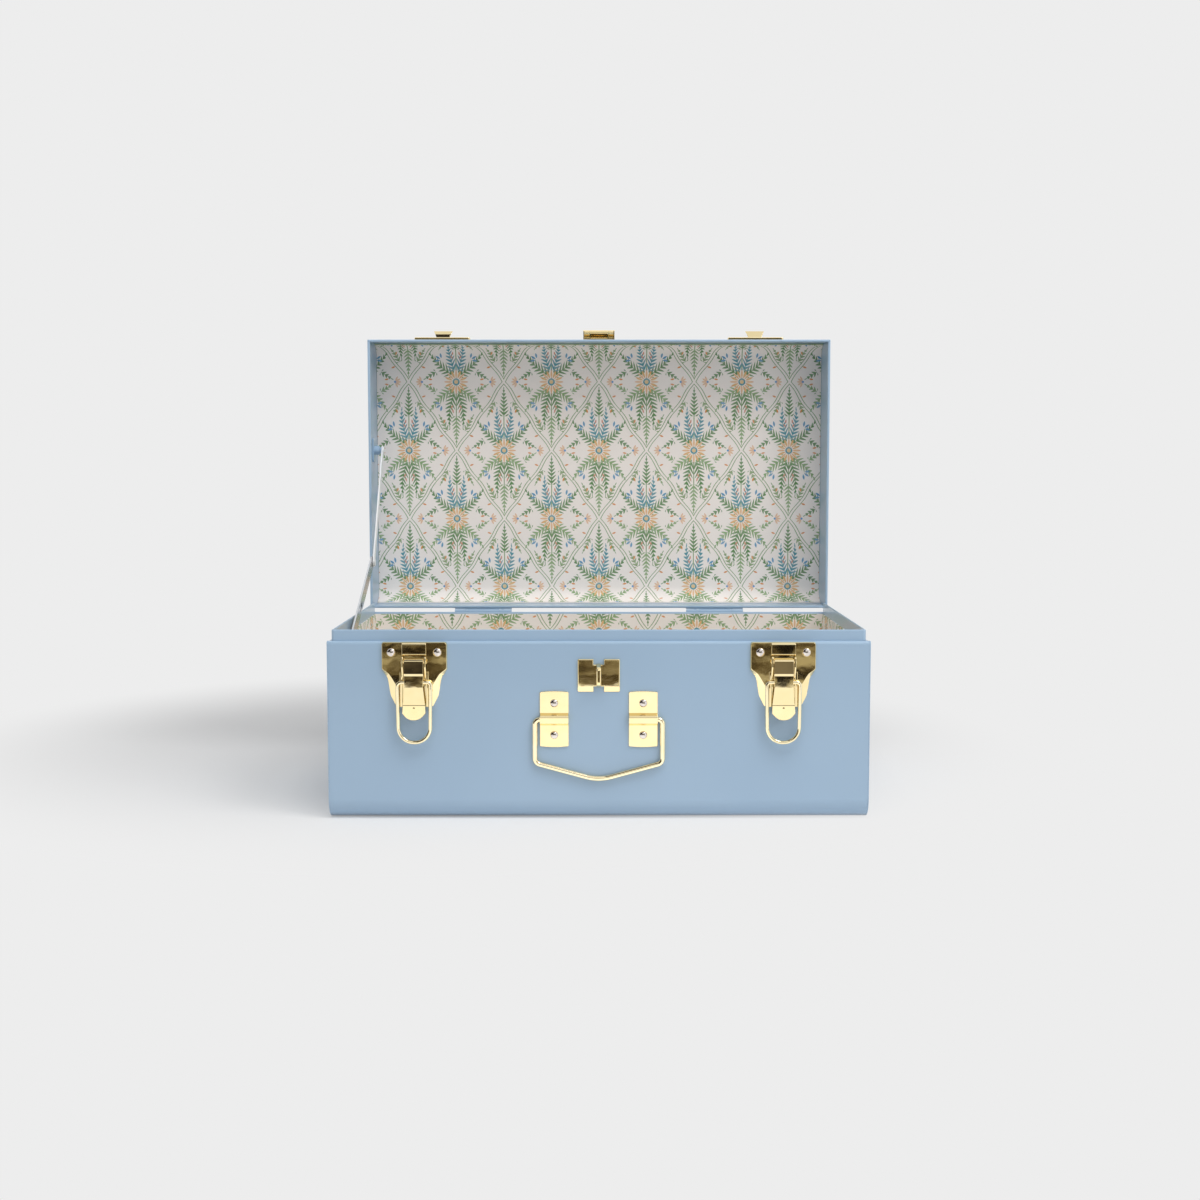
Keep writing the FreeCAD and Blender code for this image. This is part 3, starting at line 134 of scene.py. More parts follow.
def add_chain(tree: NodeTree, known: dict[Any, Any], steps: Sequence[tuple[Any, ...]]) -> None:
    """Add nodes one after another, each of which may read the earlier ones by name.

    Args:
        tree: Tree that takes the nodes.
        known: What there is so far, by name. The new nodes are added to it.
        steps: Name, kind and operation of each node, then what its inputs take, in order.
    """
    for name, kind, operation, *terms in steps:
        inputs = {index: known.get(term, term) for index, term in enumerate(terms)}
        known[name] = add_node(tree, kind, inputs, operation=operation)


def new_material(name: str) -> tuple[Material, NodeTree]:
    """Start an empty node material.

    Args:
        name: Name of the material.

    Returns:
        The material and its tree.
    """
    material = bpy.data.materials.new(name)
    material.use_nodes = True
    material.node_tree.nodes.clear()
    return material, material.node_tree


# Finishes


@dataclass(frozen=True)
class StoveEnamel:
    """Stove-baked enamel over sheet steel: an even pastel with a soft gloss.

    The spray leaves a faint orange peel, and the pressed sheet under it is never quite flat,
    so reflections waver slowly from one end of a panel to the other.
    """

    name: str = "stove_enamel"
    colour: str = "#A6C0D8"
    worn: str = "#A0BAD2"
    roughness: tuple[float, float] = (0.28, 0.38)
    coat: float = 0.35
    peel_mm: float = 2.2
    peel_depth_mm: float = 0.04
    ripple_mm: float = 90.0
    ripple_depth_mm: float = 0.6

    def make(self) -> Material:
        """Build the material.

        Returns:
            The material.
        """
        material, tree = new_material(self.name)
        place = add_node(tree, "ShaderNodeTexCoord").outputs["Object"]
        cloud = add_node(tree, "ShaderNodeTexNoise", {
            "Vector": place, "Scale": 1 / (self.ripple_mm * MM), "Detail": 3.0})
        tint = add_node(tree, "ShaderNodeMix", {
            "Factor": cloud, "A": linear(self.colour), "B": linear(self.worn)}, data_type="RGBA")
        peel = add_node(tree, "ShaderNodeTexNoise", {
            "Vector": place, "Scale": 1 / (self.peel_mm * MM), "Detail": 2.0})
        gloss = add_node(tree, "ShaderNodeMapRange", {
            "Value": peel, "To Min": self.roughness[0], "To Max": self.roughness[1]})
        ripple = add_node(tree, "ShaderNodeBump", {
            "Height": cloud, "Strength": 0.25, "Distance": self.ripple_depth_mm * MM})
        skin = add_node(tree, "ShaderNodeBump", {
            "Height": peel, "Strength": 0.12, "Distance": self.peel_depth_mm * MM,
            "Normal": ripple})
        shader = add_node(tree, "ShaderNodeBsdfPrincipled", {
            "Base Color": tint.outputs["Result"], "Roughness": gloss, "Normal": skin,
            "Coat Weight": self.coat, "Coat Roughness": 0.12, "IOR": 1.5})
        add_node(tree, "ShaderNodeOutputMaterial", {"Surface": shader})
        return material


@dataclass(frozen=True)
class PlatedMetal:
    """Bright plating over pressed steel: a mirror with faint waves and hairline scratches.

    The hairlines run along the trunk: nine to 100 mm that way, and twelve to 5 mm across it.
    """

    name: str
    colour: str
    shade: str
    roughness: float = 0.08
    wave_mm: float = 11.0
    wave_depth_mm: float = 0.06
    hair_long_mm: float = 100 / 9
    hair_wide_mm: float = 5 / 12
    hairline: float = 0.02
    metallic: float = 1.0

    def make(self) -> Material:
        """Build the material.

        Returns:
            The material.
        """
        material, tree = new_material(self.name)
        place = add_node(tree, "ShaderNodeTexCoord").outputs["Object"]
        wave = add_node(tree, "ShaderNodeTexNoise", {
            "Vector": place, "Scale": 1 / (self.wave_mm * MM), "Detail": 1.0})
        tint = add_node(tree, "ShaderNodeMix", {
            "Factor": wave, "A": linear(self.colour), "B": linear(self.shade)}, data_type="RGBA")
        across = 1 / (self.hair_wide_mm * MM)
        stretch = add_node(tree, "ShaderNodeMapping", {
            "Vector": place, "Scale": (1 / (self.hair_long_mm * MM), across, across)})
        hair = add_node(tree, "ShaderNodeTexNoise", {
            "Vector": stretch, "Scale": 1.0, "Detail": 3.0})
        gloss = add_node(tree, "ShaderNodeMapRange", {
            "Value": hair, "From Min": 0.35, "From Max": 0.75,
            "To Min": self.roughness - self.hairline, "To Max": self.roughness + self.hairline})
        bump = add_node(tree, "ShaderNodeBump", {
            "Height": wave, "Strength": 0.6, "Distance": self.wave_depth_mm * MM})
        shader = add_node(tree, "ShaderNodeBsdfPrincipled", {
            "Base Color": tint.outputs["Result"], "Metallic": self.metallic, "Roughness": gloss,
            "Normal": bump})
        add_node(tree, "ShaderNodeOutputMaterial", {"Surface": shader})
        return material


class Ink(Enum):
    """Inks of the printed lining paper."""

    PAPER = "#F8F0EA"
    STEM = "#8BA574"
    LEAF = "#658F59"
    PALE_LEAF = "#8DAB78"
    TAN = "#E8C691"
    PEACH = "#F0D2B0"
    ORANGE = "#DD9654"
    BLUE = "#6B9FCC"
    TEAL = "#5B9AA6"
    ROSE = "#D89A82"


@dataclass(frozen=True)
class Motif:
    """One pointed leaf or petal of the print, in millimetres from the middle of its cell."""

    across: float
    up: float
    angle: float
    length: float
    width: float
    ink: Ink
    vein: Optional[Ink] = None


@dataclass(frozen=True)
class Frond:
    """One fern-like spray of the print, in millimetres from the middle of its cell."""

    across: float
    up: float
    angle: float
    length: float
    reach: float
    curl: float
    ink: Ink


@dataclass(frozen=True)
class PrintedPaper:
    """Matte printed paper pasted on board: fine sprays and small blossoms between wavy vines.

    The inks are thin and lie on the paper like watercolour, so their strength wanders. The sizes
    are millimetres of the drawing, which stretch then enlarges, but for the vine's, which are
    shares of the way from a cell's middle to its edge.
    """

    name: str = "printed_paper"
    cell_across: float = 92.0
    cell_up: float = 132.0
    stretch: float = 1.16
    leaf_pitch: float = 3.7
    leaf_half: float = 1.4
    leaf_slant: float = 0.9
    leaf_edge: float = 1 / 3
    stem_half: float = 0.45
    stem_edge: float = 1 / 4
    stem_reach: float = 40.0
    vein_share: float = 0.18
    petal_ring: float = 7.6
    side_bloom: float = 33.0
    side_ring: float = 3.4
    hearts: tuple[tuple[float, Ink], ...] = ((3.4, Ink.TEAL), (1.9, Ink.TAN))
    vine_wave: float = 26.0
    vine_sway: float = 0.018
    vine_line: float = 0.965
    vine_half: float = 0.009
    wash_patch: float = 5.0
    wash_most: float = 0.18
    fibre_mm: float = 0.8
    fibre_depth_mm: float = 0.08

    def fronds(self) -> list[Frond]:
        """Sprays of half a cell; the other half mirrors it.

        Returns:
            All of them, in the order of printing.
        """
        return [
            Frond(1.5, 11.0, 64, 32, 7.4, -0.010, Ink.LEAF),
            Frond(3.0, 7.0, 24, 32, 7.0, -0.012, Ink.PALE_LEAF),
            Frond(3.0, -7.0, -24, 32, 7.0, 0.012, Ink.LEAF),
            Frond(1.5, -11.0, -64, 30, 6.4, 0.010, Ink.TEAL),
            Frond(0.0, 33.0, 90, 28, 5.4, 0.0, Ink.PALE_LEAF),
            Frond(0.0, -33.0, -90, 28, 5.4, 0.0, Ink.LEAF),
            Frond(8.5, 47.0, -62, 18, 4.0, 0.0, Ink.STEM),
            Frond(8.5, -47.0, 62, 17, 3.2, 0.0, Ink.STEM),
            Frond(19.5, 9.5, -32, 14, 3.6, 0.0, Ink.PALE_LEAF),
            Frond(19.5, -9.5, 32, 14, 3.6, 0.0, Ink.LEAF),
        ]

    def motifs(self) -> list[Motif]:
        """Petals and buds of half a cell; the other half mirrors it.

        Returns:
            All of them, in the order of printing.
        """
        made: list[Motif] = []
        for turn in range(9):
            angle = -90 + turn * 22.5
            way = math.radians(angle)
            made.append(Motif(self.petal_ring * math.cos(way), self.petal_ring * math.sin(way),
                              angle, 4.3, 1.35, Ink.TAN if turn % 2 else Ink.PEACH, Ink.ORANGE))
        buds = (
            (17.4, 23.5, 35, 2.9, 1.15, Ink.BLUE, Ink.TEAL),
            (14.6, 25.6, 80, 2.9, 1.15, Ink.BLUE, Ink.TEAL),
            (18.2, 20.4, -8, 2.9, 1.15, Ink.BLUE, Ink.TEAL),
            (4.2, 24.0, 60, 2.2, 0.9, Ink.ROSE),
            (3.2, 28.0, 100, 2.2, 0.9, Ink.ROSE),
            (31.5, 14.0, 20, 2.3, 0.9, Ink.ORANGE),
            (25.0, 2.5, 12, 2.3, 0.9, Ink.ORANGE),
            (11.5, 38.0, 70, 2.3, 0.9, Ink.ORANGE),
        )
        for side in (1, -1):
            made += [Motif(across, side * up, side * angle, *rest)
                     for across, up, angle, *rest in buds]
        for angle in (-64, -32, 0, 32, 64):
            way = math.radians(angle)
            made.append(Motif(self.side_bloom + self.side_ring * math.cos(way),
                              self.side_ring * math.sin(way), angle, 2.7, 1.1,
                              Ink.PEACH, Ink.ROSE))
        made.append(Motif(self.side_bloom, 0.0, 0, 1.3, 1.3, Ink.BLUE))
        return made

    def start_group(self, name: str, sizes: Sequence[str],
                    results: Sequence[str]) -> tuple[NodeTree, dict[Any, Any]]:
        """Start a group for one shape of the print, and turn the point into the shape's axes.

        Args:
            name: Name of the group.
            sizes: Names of the shape's sizes.
            results: Names of what the group gives.

        Returns:
            The group, and what there is in it so far, by name.
        """
        group = bpy.data.node_groups.new(name, "ShaderNodeTree")
        sockets = [(label, "INPUT", "NodeSocketVector") for label in ("Point", "Base")]
        sockets += [(label, "INPUT", "NodeSocketFloat") for label in ("Angle", *sizes)]
        sockets += [(label, "OUTPUT", "NodeSocketFloat") for label in results]
        for label, way, kind in sockets:
            group.interface.new_socket(label, in_out=way, socket_type=kind)
        given = add_node(group, "NodeGroupInput")
        offset = add_node(group, VECTOR_MATH, {
            0: given.outputs["Point"], 1: given.outputs["Base"]}, operation="SUBTRACT")
        turned = add_node(group, "ShaderNodeVectorRotate", {
            "Vector": offset, "Angle": given.outputs["Angle"]}, rotation_type="Z_AXIS", invert=True)
        parts = add_node(group, "ShaderNodeSeparateXYZ", {0: turned})
        known: dict[Any, Any] = {"along": parts.outputs["X"], "side": parts.outputs["Y"]}
        known.update({label: given.outputs[label] for label in sizes})
        return group, known

    def frond_group(self) -> NodeTree:
        """A group that tells whether a point lies in a spray of slanting leaves on a stem.

        Returns:
            The group.
        """
        group, known = self.start_group("frond_shape", ("Length", "Reach", "Curl"), ("Leaf",))
        add_chain(group, known, [
            ("square", MATH, "MULTIPLY", "along", "along"),
            ("bent", MATH, "MULTIPLY_ADD", "square", "Curl", "side"),
            ("aside", MATH, "ABSOLUTE", "bent"),
            # The leaves reach less far out towards the tip
            ("share", MATH, "DIVIDE", "along", "Length"),
            ("shared", MATH, "MULTIPLY", "share", "share"),
            ("taper", MATH, "SUBTRACT", 1.0, "shared"),
            ("full", MATH, "MULTIPLY", "taper", "Reach"),
            ("reach", MATH, "MAXIMUM", "full", 0.01),
            # How far the point lies from the rib of the nearest slanting leaf
            ("slanted", MATH, "MULTIPLY_ADD", "aside", -self.leaf_slant, "along"),
            ("row", MATH, "DIVIDE", "slanted", self.leaf_pitch),
            ("place", MATH, "FRACT", "row"),
            ("phase", MATH, "SUBTRACT", "place", 0.5),
            ("swing", MATH, "ABSOLUTE", "phase"),
            ("from_rib", MATH, "MULTIPLY", "swing", self.leaf_pitch),
            # A leaf is widest at the stem and pointed at its end
            ("spread", MATH, "DIVIDE", "aside", "reach"),
            ("spread_square", MATH, "MULTIPLY", "spread", "spread"),
            ("fullness", MATH, "SUBTRACT", 1.0, "spread_square"),
            ("thick", MATH, "MULTIPLY", "fullness", self.leaf_half),
            ("inner", MATH, "SUBTRACT", "thick", "from_rib"),
            ("leaf", MATH, "DIVIDE", "inner", self.leaf_edge),
            ("from_stem", MATH, "SUBTRACT", self.stem_half, "aside"),
            ("stem", MATH, "DIVIDE", "from_stem", self.stem_edge),
            ("both", MATH, "MAXIMUM", "leaf", "stem"),
            ("begun", MATH, "GREATER_THAN", "share", 0.0),
            ("going_on", MATH, "LESS_THAN", "share", 1.0),
            ("inside", MATH, "MULTIPLY", "begun", "going_on"),
            ("shown", MATH, "MULTIPLY", "both", "inside"),
        ])
        mask = add_node(group, "ShaderNodeClamp", {0: known["shown"]})
        add_node(group, "NodeGroupOutput", {"Leaf": mask})
        return group

    def leaf_group(self) -> NodeTree:
        """A group that tells whether a point lies in a pointed leaf, and in its vein.

        Returns:
            The group.
        """
        group, known = self.start_group("leaf_shape", ("Length", "Width"), ("Leaf", "Vein"))
        add_chain(group, known, [
            ("share", MATH, "DIVIDE", "along", "Length"),
            ("bow", MATH, "MULTIPLY", "share", "share"),
            ("aside", MATH, "ABSOLUTE", "side"),
            ("spread", MATH, "DIVIDE", "aside", "Width"),
            ("total", MATH, "ADD", "bow", "spread"),
            ("middle", MATH, "LESS_THAN", "spread", self.vein_share),
        ])
        leaf = add_node(group, "ShaderNodeMapRange", {
            "Value": known["total"], "From Min": 1.0, "From Max": 0.7
        }, interpolation_type="SMOOTHSTEP")
        vein = add_node(group, MATH, {0: known["middle"], 1: leaf}, operation="MULTIPLY")
        add_node(group, "NodeGroupOutput", {"Leaf": leaf, "Vein": vein})
        return group

    def fold(self, tree: NodeTree) -> tuple[Node, Node]:
        """Fold the sheet into one half cell of a half-drop repeat.

        Args:
            tree: Tree of the material.

        Returns:
            The folded point in millimetres, and how far it lies from the cell's middle to its
            edge, from 0 to 1.
        """
        scale = (1 / (self.cell_across * self.stretch * MM),
                 1 / (self.cell_up * self.stretch * MM), 0)
        known: dict[Any, Any] = {"sheet": add_node(tree, "ShaderNodeUVMap", uv_map="print")}
        places, reaches = [], []
        for shift in (0.0, 0.5):
            add_chain(tree, known, [
                ("moved", VECTOR_MATH, "MULTIPLY_ADD", "sheet", scale, (shift, shift, 0)),
                ("whole", VECTOR_MATH, "FRACTION", "moved"),
                ("local", VECTOR_MATH, "SUBTRACT", "whole", (0.5, 0.5, 0)),
                ("doubled", VECTOR_MATH, "ABSOLUTE", "local"),
                ("reach", VECTOR_MATH, "DOT_PRODUCT", "doubled", (2, 2, 0)),
            ])
            places.append(known["local"])
            reaches.append(known["reach"].outputs["Value"])
        first = add_node(tree, MATH, dict(enumerate(reaches)), operation="LESS_THAN")
        reach = add_node(tree, MATH, dict(enumerate(reaches)), operation="MINIMUM")
        chosen = add_node(tree, "ShaderNodeMix", {
            "Factor": first, "A": places[1], "B": places[0]}, data_type="VECTOR")
        scaled = add_node(tree, VECTOR_MATH, {
            0: chosen.outputs["Result"], 1: (self.cell_across, self.cell_up, 0)
        }, operation="MULTIPLY")
        parts = add_node(tree, "ShaderNodeSeparateXYZ", {0: scaled})
        mirrored = add_node(tree, MATH, {0: parts.outputs["X"]}, operation="ABSOLUTE")
        point = add_node(tree, "ShaderNodeCombineXYZ", {"X": mirrored, "Y": parts.outputs["Y"]})
        return point, reach

    def vines(self, tree: NodeTree, point: Node, reach: Node) -> list[tuple[Any, Ink]]:
        """Wavy vines along the edges of the cells, and a stem up the middle.

        Args:
            tree: Tree of the material.
            point: Point in the half cell.
            reach: How far it lies from the middle to the edge.

        Returns:
            Where each is printed, with its ink.
        """
        parts = add_node(tree, "ShaderNodeSeparateXYZ", {0: point})
        known = {"across": parts.outputs["X"], "up": parts.outputs["Y"], "reach": reach}
        add_chain(tree, known, [
            ("turn", MATH, "MULTIPLY", "up", math.tau / self.vine_wave),
            ("sway", MATH, "SINE", "turn"),
            ("swayed", MATH, "MULTIPLY_ADD", "sway", self.vine_sway, "reach"),
            ("from_vine", MATH, "SUBTRACT", "swayed", self.vine_line),
            ("near", MATH, "ABSOLUTE", "from_vine"),
            ("vine", MATH, "LESS_THAN", "near", self.vine_half),
            ("upright", MATH, "LESS_THAN", "across", self.stem_half),
            ("height", MATH, "ABSOLUTE", "up"),
            ("short", MATH, "LESS_THAN", "height", self.stem_reach),
            ("stem", MATH, "MULTIPLY", "upright", "short"),
        ])
        return [(known["vine"], Ink.STEM), (known["stem"], Ink.STEM)]

    def sprays(self, tree: NodeTree, point: Node) -> list[tuple[Any, Ink]]:
        """Fronds, petals and buds, and the heart of the blossom over them.

        Args:
            tree: Tree of the material.
            point: Point in the half cell.

        Returns:
            Where each is printed, with its ink.
        """
        made: list[tuple[Any, Ink]] = []
        frond_shape = self.frond_group()
        for frond in self.fronds():
            spray = add_node(tree, "ShaderNodeGroup", {
                "Point": point, "Base": (frond.across, frond.up, 0),
                "Angle": math.radians(frond.angle), "Length": frond.length, "Reach": frond.reach,
                "Curl": frond.curl}, node_tree=frond_shape)
            made.append((spray, frond.ink))
        leaf_shape = self.leaf_group()
        for motif in self.motifs():
            leaf = add_node(tree, "ShaderNodeGroup", {
                "Point": point, "Base": (motif.across, motif.up, 0),
                "Angle": math.radians(motif.angle), "Length": motif.length, "Width": motif.width
            }, node_tree=leaf_shape)
            made.append((leaf.outputs["Leaf"], motif.ink))
            if motif.vein is not None:
                made.append((leaf.outputs["Vein"], motif.vein))
        far = add_node(tree, VECTOR_MATH, {0: point}, operation="LENGTH").outputs["Value"]
        for radius, ink in self.hearts:
            heart = add_node(tree, MATH, {0: far, 1: radius}, operation="LESS_THAN")
            made.append((heart, ink))
        return made

    def make(self) -> Material:
        """Build the material.

        Returns:
            The material.
        """
        material, tree = new_material(self.name)
        point, reach = self.fold(tree)
        cloud = add_node(tree, "ShaderNodeTexNoise", {
            "Vector": point, "Scale": 1 / self.wash_patch, "Detail": 2.0})
        wash = add_node(tree, "ShaderNodeMapRange", {
            "Value": cloud, "From Min": 0.35, "From Max": 0.7, "To Min": 0.0,
            "To Max": self.wash_most})
        prints = self.vines(tree, point, reach) + self.sprays(tree, point)
        colour: Any = linear(Ink.PAPER.value)
        for mask, ink in prints + [(wash, Ink.PAPER)]:
            colour = add_node(tree, "ShaderNodeMix", {
                "Factor": mask, "A": colour, "B": linear(ink.value)
            }, data_type="RGBA").outputs["Result"]
        place = add_node(tree, "ShaderNodeTexCoord").outputs["Object"]
        fibre = add_node(tree, "ShaderNodeTexNoise", {
            "Vector": place, "Scale": 1 / (self.fibre_mm * MM), "Detail": 4.0})
        tone = add_node(tree, "ShaderNodeMapRange", {
            "Value": fibre, "To Min": 0.96, "To Max": 1.03})
        grained = add_node(tree, VECTOR_MATH, {0: colour, "Scale": tone}, operation="SCALE")
        bump = add_node(tree, "ShaderNodeBump", {
            "Height": fibre, "Strength": 0.25, "Distance": self.fibre_depth_mm * MM})
        shader = add_node(tree, "ShaderNodeBsdfPrincipled", {
            "Base Color": grained, "Roughness": 0.78, "Normal": bump, "Specular IOR Level": 0.3})
        add_node(tree, "ShaderNodeOutputMaterial", {"Surface": shader})
        return material


# Working a piece


def link_mesh(name: str, data: Mesh) -> Object:
    """Put a mesh into the scene as an object at the origin.

    Args:
        name: Name of the piece.
        data: Its mesh, with its place in it.

    Returns:
        The object.
    """
    piece = bpy.data.objects.new(name, data)
    bpy.context.scene.collection.objects.link(piece)
    return piece


def settle(piece: Object) -> None:
    """Turn what a piece's modifiers make into its plain mesh, and take them off.

    Args:
        piece: Object with its modifiers set.
    """
    bpy.context.view_layer.update()
    graph = bpy.context.evaluated_depsgraph_get()
    made = bpy.data.meshes.new_from_object(piece.evaluated_get(graph),
                                           preserve_all_data_layers=True, depsgraph=graph)
    piece.modifiers.clear()
    piece.data = made
    made.name = piece.name


def stand_for(piece: Object, node: str, material: Material) -> None:
    """Let a finished piece take the place of a CAD node, on its body and in its finish.

    Args:
        piece: The piece.
        node: Name of the CAD node.
        material: Finish of the piece.
    """
    source = frame["nodes"][node]
    piece.data.materials.clear()
    piece.data.materials.append(material)
    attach(piece, body_of(source)[0])
    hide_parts(node)
    log.info("%s stands for %s in %s", piece.name, node, material.name)


def level_normals(data: Mesh, flat_mm: float) -> None:
    """Shade wide faces dead flat, and let narrow ones turn smoothly from one to the next.

    Args:
        data: Mesh of a pressed sheet with its edges broken.
        flat_mm: Width from which a face counts as wide.
    """
    mesh = bmesh.new()
    mesh.from_mesh(data)
    mesh.normal_update()
    widths = {face: face.calc_area() / max(edge.calc_length() for edge in face.edges)
              for face in mesh.faces}
    normals = []
    for face in mesh.faces:
        for loop in face.loops:
            if widths[face] > flat_mm * MM:
                normals.append(face.normal.copy())
                continue
            near = [other for other in loop.vert.link_faces
                    if other.normal.angle(face.normal, 0.0) < SMOOTH_ANGLE]
            widest = max(near, key=widths.get)
            if widths[widest] > flat_mm * MM:
                normals.append(widest.normal.copy())
            else:
                mean = sum((other.normal * other.calc_area() for other in near), Vector())
                normals.append(mean.normalized() if mean.length > 0 else face.normal.copy())
    mesh.free()
    for polygon in data.polygons:
        polygon.use_smooth = True
    data.normals_split_custom_set(normals)


def softened(node: str, material: Material, edge_mm: float = 0.25, flat_mm: float = 2.6) -> None:
    """Replace a CAD node by a merged copy of it with its edges broken, as a press leaves them.

    Args:
        node: Name of the CAD node.
        material: Finish of the piece.
        edge_mm: Width of the broken edge.
        flat_mm: Width from which a face is shaded flat.
    """
    mesh = bmesh.new()
    mesh.from_mesh(frame["nodes"][node].data)
    bmesh.ops.remove_doubles(mesh, verts=mesh.verts, dist=MERGE_MM * MM)
    bmesh.ops.dissolve_limit(mesh, angle_limit=FLAT_ANGLE, verts=mesh.verts, edges=mesh.edges)
    weight = mesh.edges.layers.float.new("bevel_weight_edge")
    for face in mesh.faces:
        face.smooth = True
    for edge in mesh.edges:
        if len(edge.link_faces) != 2 or edge.calc_face_angle() < EDGE_ANGLE:
            continue
        if edge.is_convex:
            edge[weight] = 1.0
    data = bpy.data.meshes.new(node + "_soft")
    mesh.to_mesh(data)
    mesh.free()
    piece = link_mesh(node + "_soft", data)
    bevel = piece.modifiers.new("edge", "BEVEL")
    bevel.width = edge_mm * MM
    bevel.segments = 2
    bevel.limit_method = "WEIGHT"
    bevel.use_clamp_overlap = False
    settle(piece)
    level_normals(piece.data, flat_mm)
    stand_for(piece, node, material)


class Facing(Enum):
    """Which way a head on a sheet looks, as the turn of a head that looks up."""

    FRONT = (math.pi / 2, 0.0, 0.0)
    BACK = (-math.pi / 2, 0.0, 0.0)
    UP = (0.0, 0.0, 0.0)
    DOWN = (math.pi, 0.0, 0.0)


def corner_points(node: str, radius: float, facing: Facing) -> list[Vector]:
    """Foot of each rivet head of a CAD node that holds one or two rows of two.

    Args:
        node: Name of the CAD node.
        radius: Radius of a head, in metres.
        facing: Which way the heads look.

    Returns:
        A point for each head.
    """
    low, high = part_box(node)
    points = []
    for across in (low.x + radius, high.x - radius):
        if facing in (Facing.FRONT, Facing.BACK):
            depth = high.y if facing is Facing.FRONT else low.y
            rows = {round(value, 5) for value in (low.z + radius, high.z - radius)}
            points += [Vector((across, depth, row)) for row in sorted(rows)]
        else:
            height = low.z if facing is Facing.UP else high.z
            rows = {round(value, 5) for value in (low.y + radius, high.y - radius)}
            points += [Vector((across, row, height)) for row in sorted(rows)]
    return points


class Workshop:
    """Geometry Nodes trees for domed heads and bent wire.

    A head reaches into its sheet by its seat, in millimetres.
    """

    seat: float = 0.1

    def __init__(self) -> None:
        """Make both trees."""
        self.heads = self.head_tree()
        self.wire = self.wire_tree()

    def start(self, name: str, sockets: Sequence[tuple[str, str]]) -> NodeTree:
        """Start a tree with a geometry input, named inputs for its sizes and one output.

        Args:
            name: Name of the tree.
            sockets: Name and type of each input after the geometry.

        Returns:
            The tree.
        """
        tree = bpy.data.node_groups.new(name, "GeometryNodeTree")
        tree.interface.new_socket("Geometry", in_out="INPUT", socket_type="NodeSocketGeometry")
        for label, kind in sockets:
            tree.interface.new_socket(label, in_out="INPUT", socket_type=kind)
        tree.interface.new_socket("Geometry", in_out="OUTPUT", socket_type="NodeSocketGeometry")
        return tree

    def end(self, tree: NodeTree, given: Node, shape: Node) -> None:
        """Close a tree: real meshes, shaded smooth, in the finish that it is given.

        Args:
            tree: The tree.
            given: Its input node.
            shape: Node that gives the finished shape.
        """
        real = add_node(tree, "GeometryNodeRealizeInstances", {0: shape})
        smooth = add_node(tree, "GeometryNodeSetShadeSmooth", {0: real})
        dressed = add_node(tree, "GeometryNodeSetMaterial", {
            "Geometry": smooth, "Material": given.outputs["Finish"]})
        add_node(tree, "NodeGroupOutput", {0: dressed})

    def head_tree(self) -> NodeTree:
        """A domed head on each point: a ball drawn out to a size and pressed flat below.

        Returns:
            The tree.
        """
        tree = self.start("domed_heads", [
            ("Half Size", "NodeSocketVector"), ("Seat", "NodeSocketFloat"),
            ("Facing", "NodeSocketVector"), ("Finish", "NodeSocketMaterial")])
        given = add_node(tree, "NodeGroupInput")
        ball = add_node(tree, "GeometryNodeMeshUVSphere", {
            "Segments": 36, "Rings": 20, "Radius": 1.0})
        spot = add_node(tree, "ShaderNodeSeparateXYZ", {
            0: add_node(tree, "GeometryNodeInputPosition")}).outputs
        half = add_node(tree, "ShaderNodeSeparateXYZ", {0: given.outputs["Half Size"]}).outputs
        known = {"seat": given.outputs["Seat"]}
        add_chain(tree, known, (
            ("above", MATH, "MAXIMUM", spot["Z"], 0.0),
            ("below", MATH, "MINIMUM", spot["Z"], 0.0),
            ("risen", MATH, "MULTIPLY", "above", half["Z"]),
            ("height", MATH, "MULTIPLY_ADD", "below", "seat", "risen"),
            ("wide", MATH, "MULTIPLY", spot["X"], half["X"]),
            ("tall", MATH, "MULTIPLY", spot["Y"], half["Y"]),
        ))
        place = add_node(tree, "ShaderNodeCombineXYZ", {
            0: known["wide"], 1: known["tall"], 2: known["height"]})
        head = add_node(tree, "GeometryNodeSetPosition", {"Geometry": ball, "Position": place})
        turn = add_node(tree, "FunctionNodeEulerToRotation", {0: given.outputs["Facing"]})
        heads = add_node(tree, "GeometryNodeInstanceOnPoints", {
            "Points": given.outputs["Geometry"], "Instance": head, "Rotation": turn})
        self.end(tree, given, heads)
        return tree

    def wire_tree(self) -> NodeTree:
        """Round wire along a polyline, bent at each point by the radius stored there.

        Returns:
            The tree.
        """
        tree = self.start("bent_wire", [
            ("Wire Radius", "NodeSocketFloat"), ("Finish", "NodeSocketMaterial")])
        given = add_node(tree, "NodeGroupInput")
        line = add_node(tree, "GeometryNodeMeshToCurve", {0: given.outputs["Geometry"]})
        bend = add_node(tree, "GeometryNodeInputNamedAttribute", {
            "Name": "bend"}, data_type="FLOAT")
        path = add_node(tree, "GeometryNodeFilletCurve", {
            "Curve": line, "Count": 14, "Radius": bend, "Limit Radius": True}, mode="POLY")
        ring = add_node(tree, "GeometryNodeCurvePrimitiveCircle", {
            "Resolution": 28, "Radius": given.outputs["Wire Radius"]})
        wire = add_node(tree, "GeometryNodeCurveToMesh", {
            "Curve": path, "Profile Curve": ring, "Fill Caps": True})
        self.end(tree, given, wire)
        return tree

    def run(self, piece: Object, tree: NodeTree, sizes: dict[str, Any]) -> None:
        """Run a tree on a piece, and keep what it makes as a plain mesh.

        Args:
            piece: Object that holds the points or the polyline.
            tree: The tree.
            sizes: Value of each named input.
        """
        modifier = piece.modifiers.new(tree.name, "NODES")
        modifier.node_group = tree
        for item in tree.interface.items_tree:
            if item.in_out == "INPUT" and item.name in sizes:
                modifier[item.identifier] = sizes[item.name]
        settle(piece)

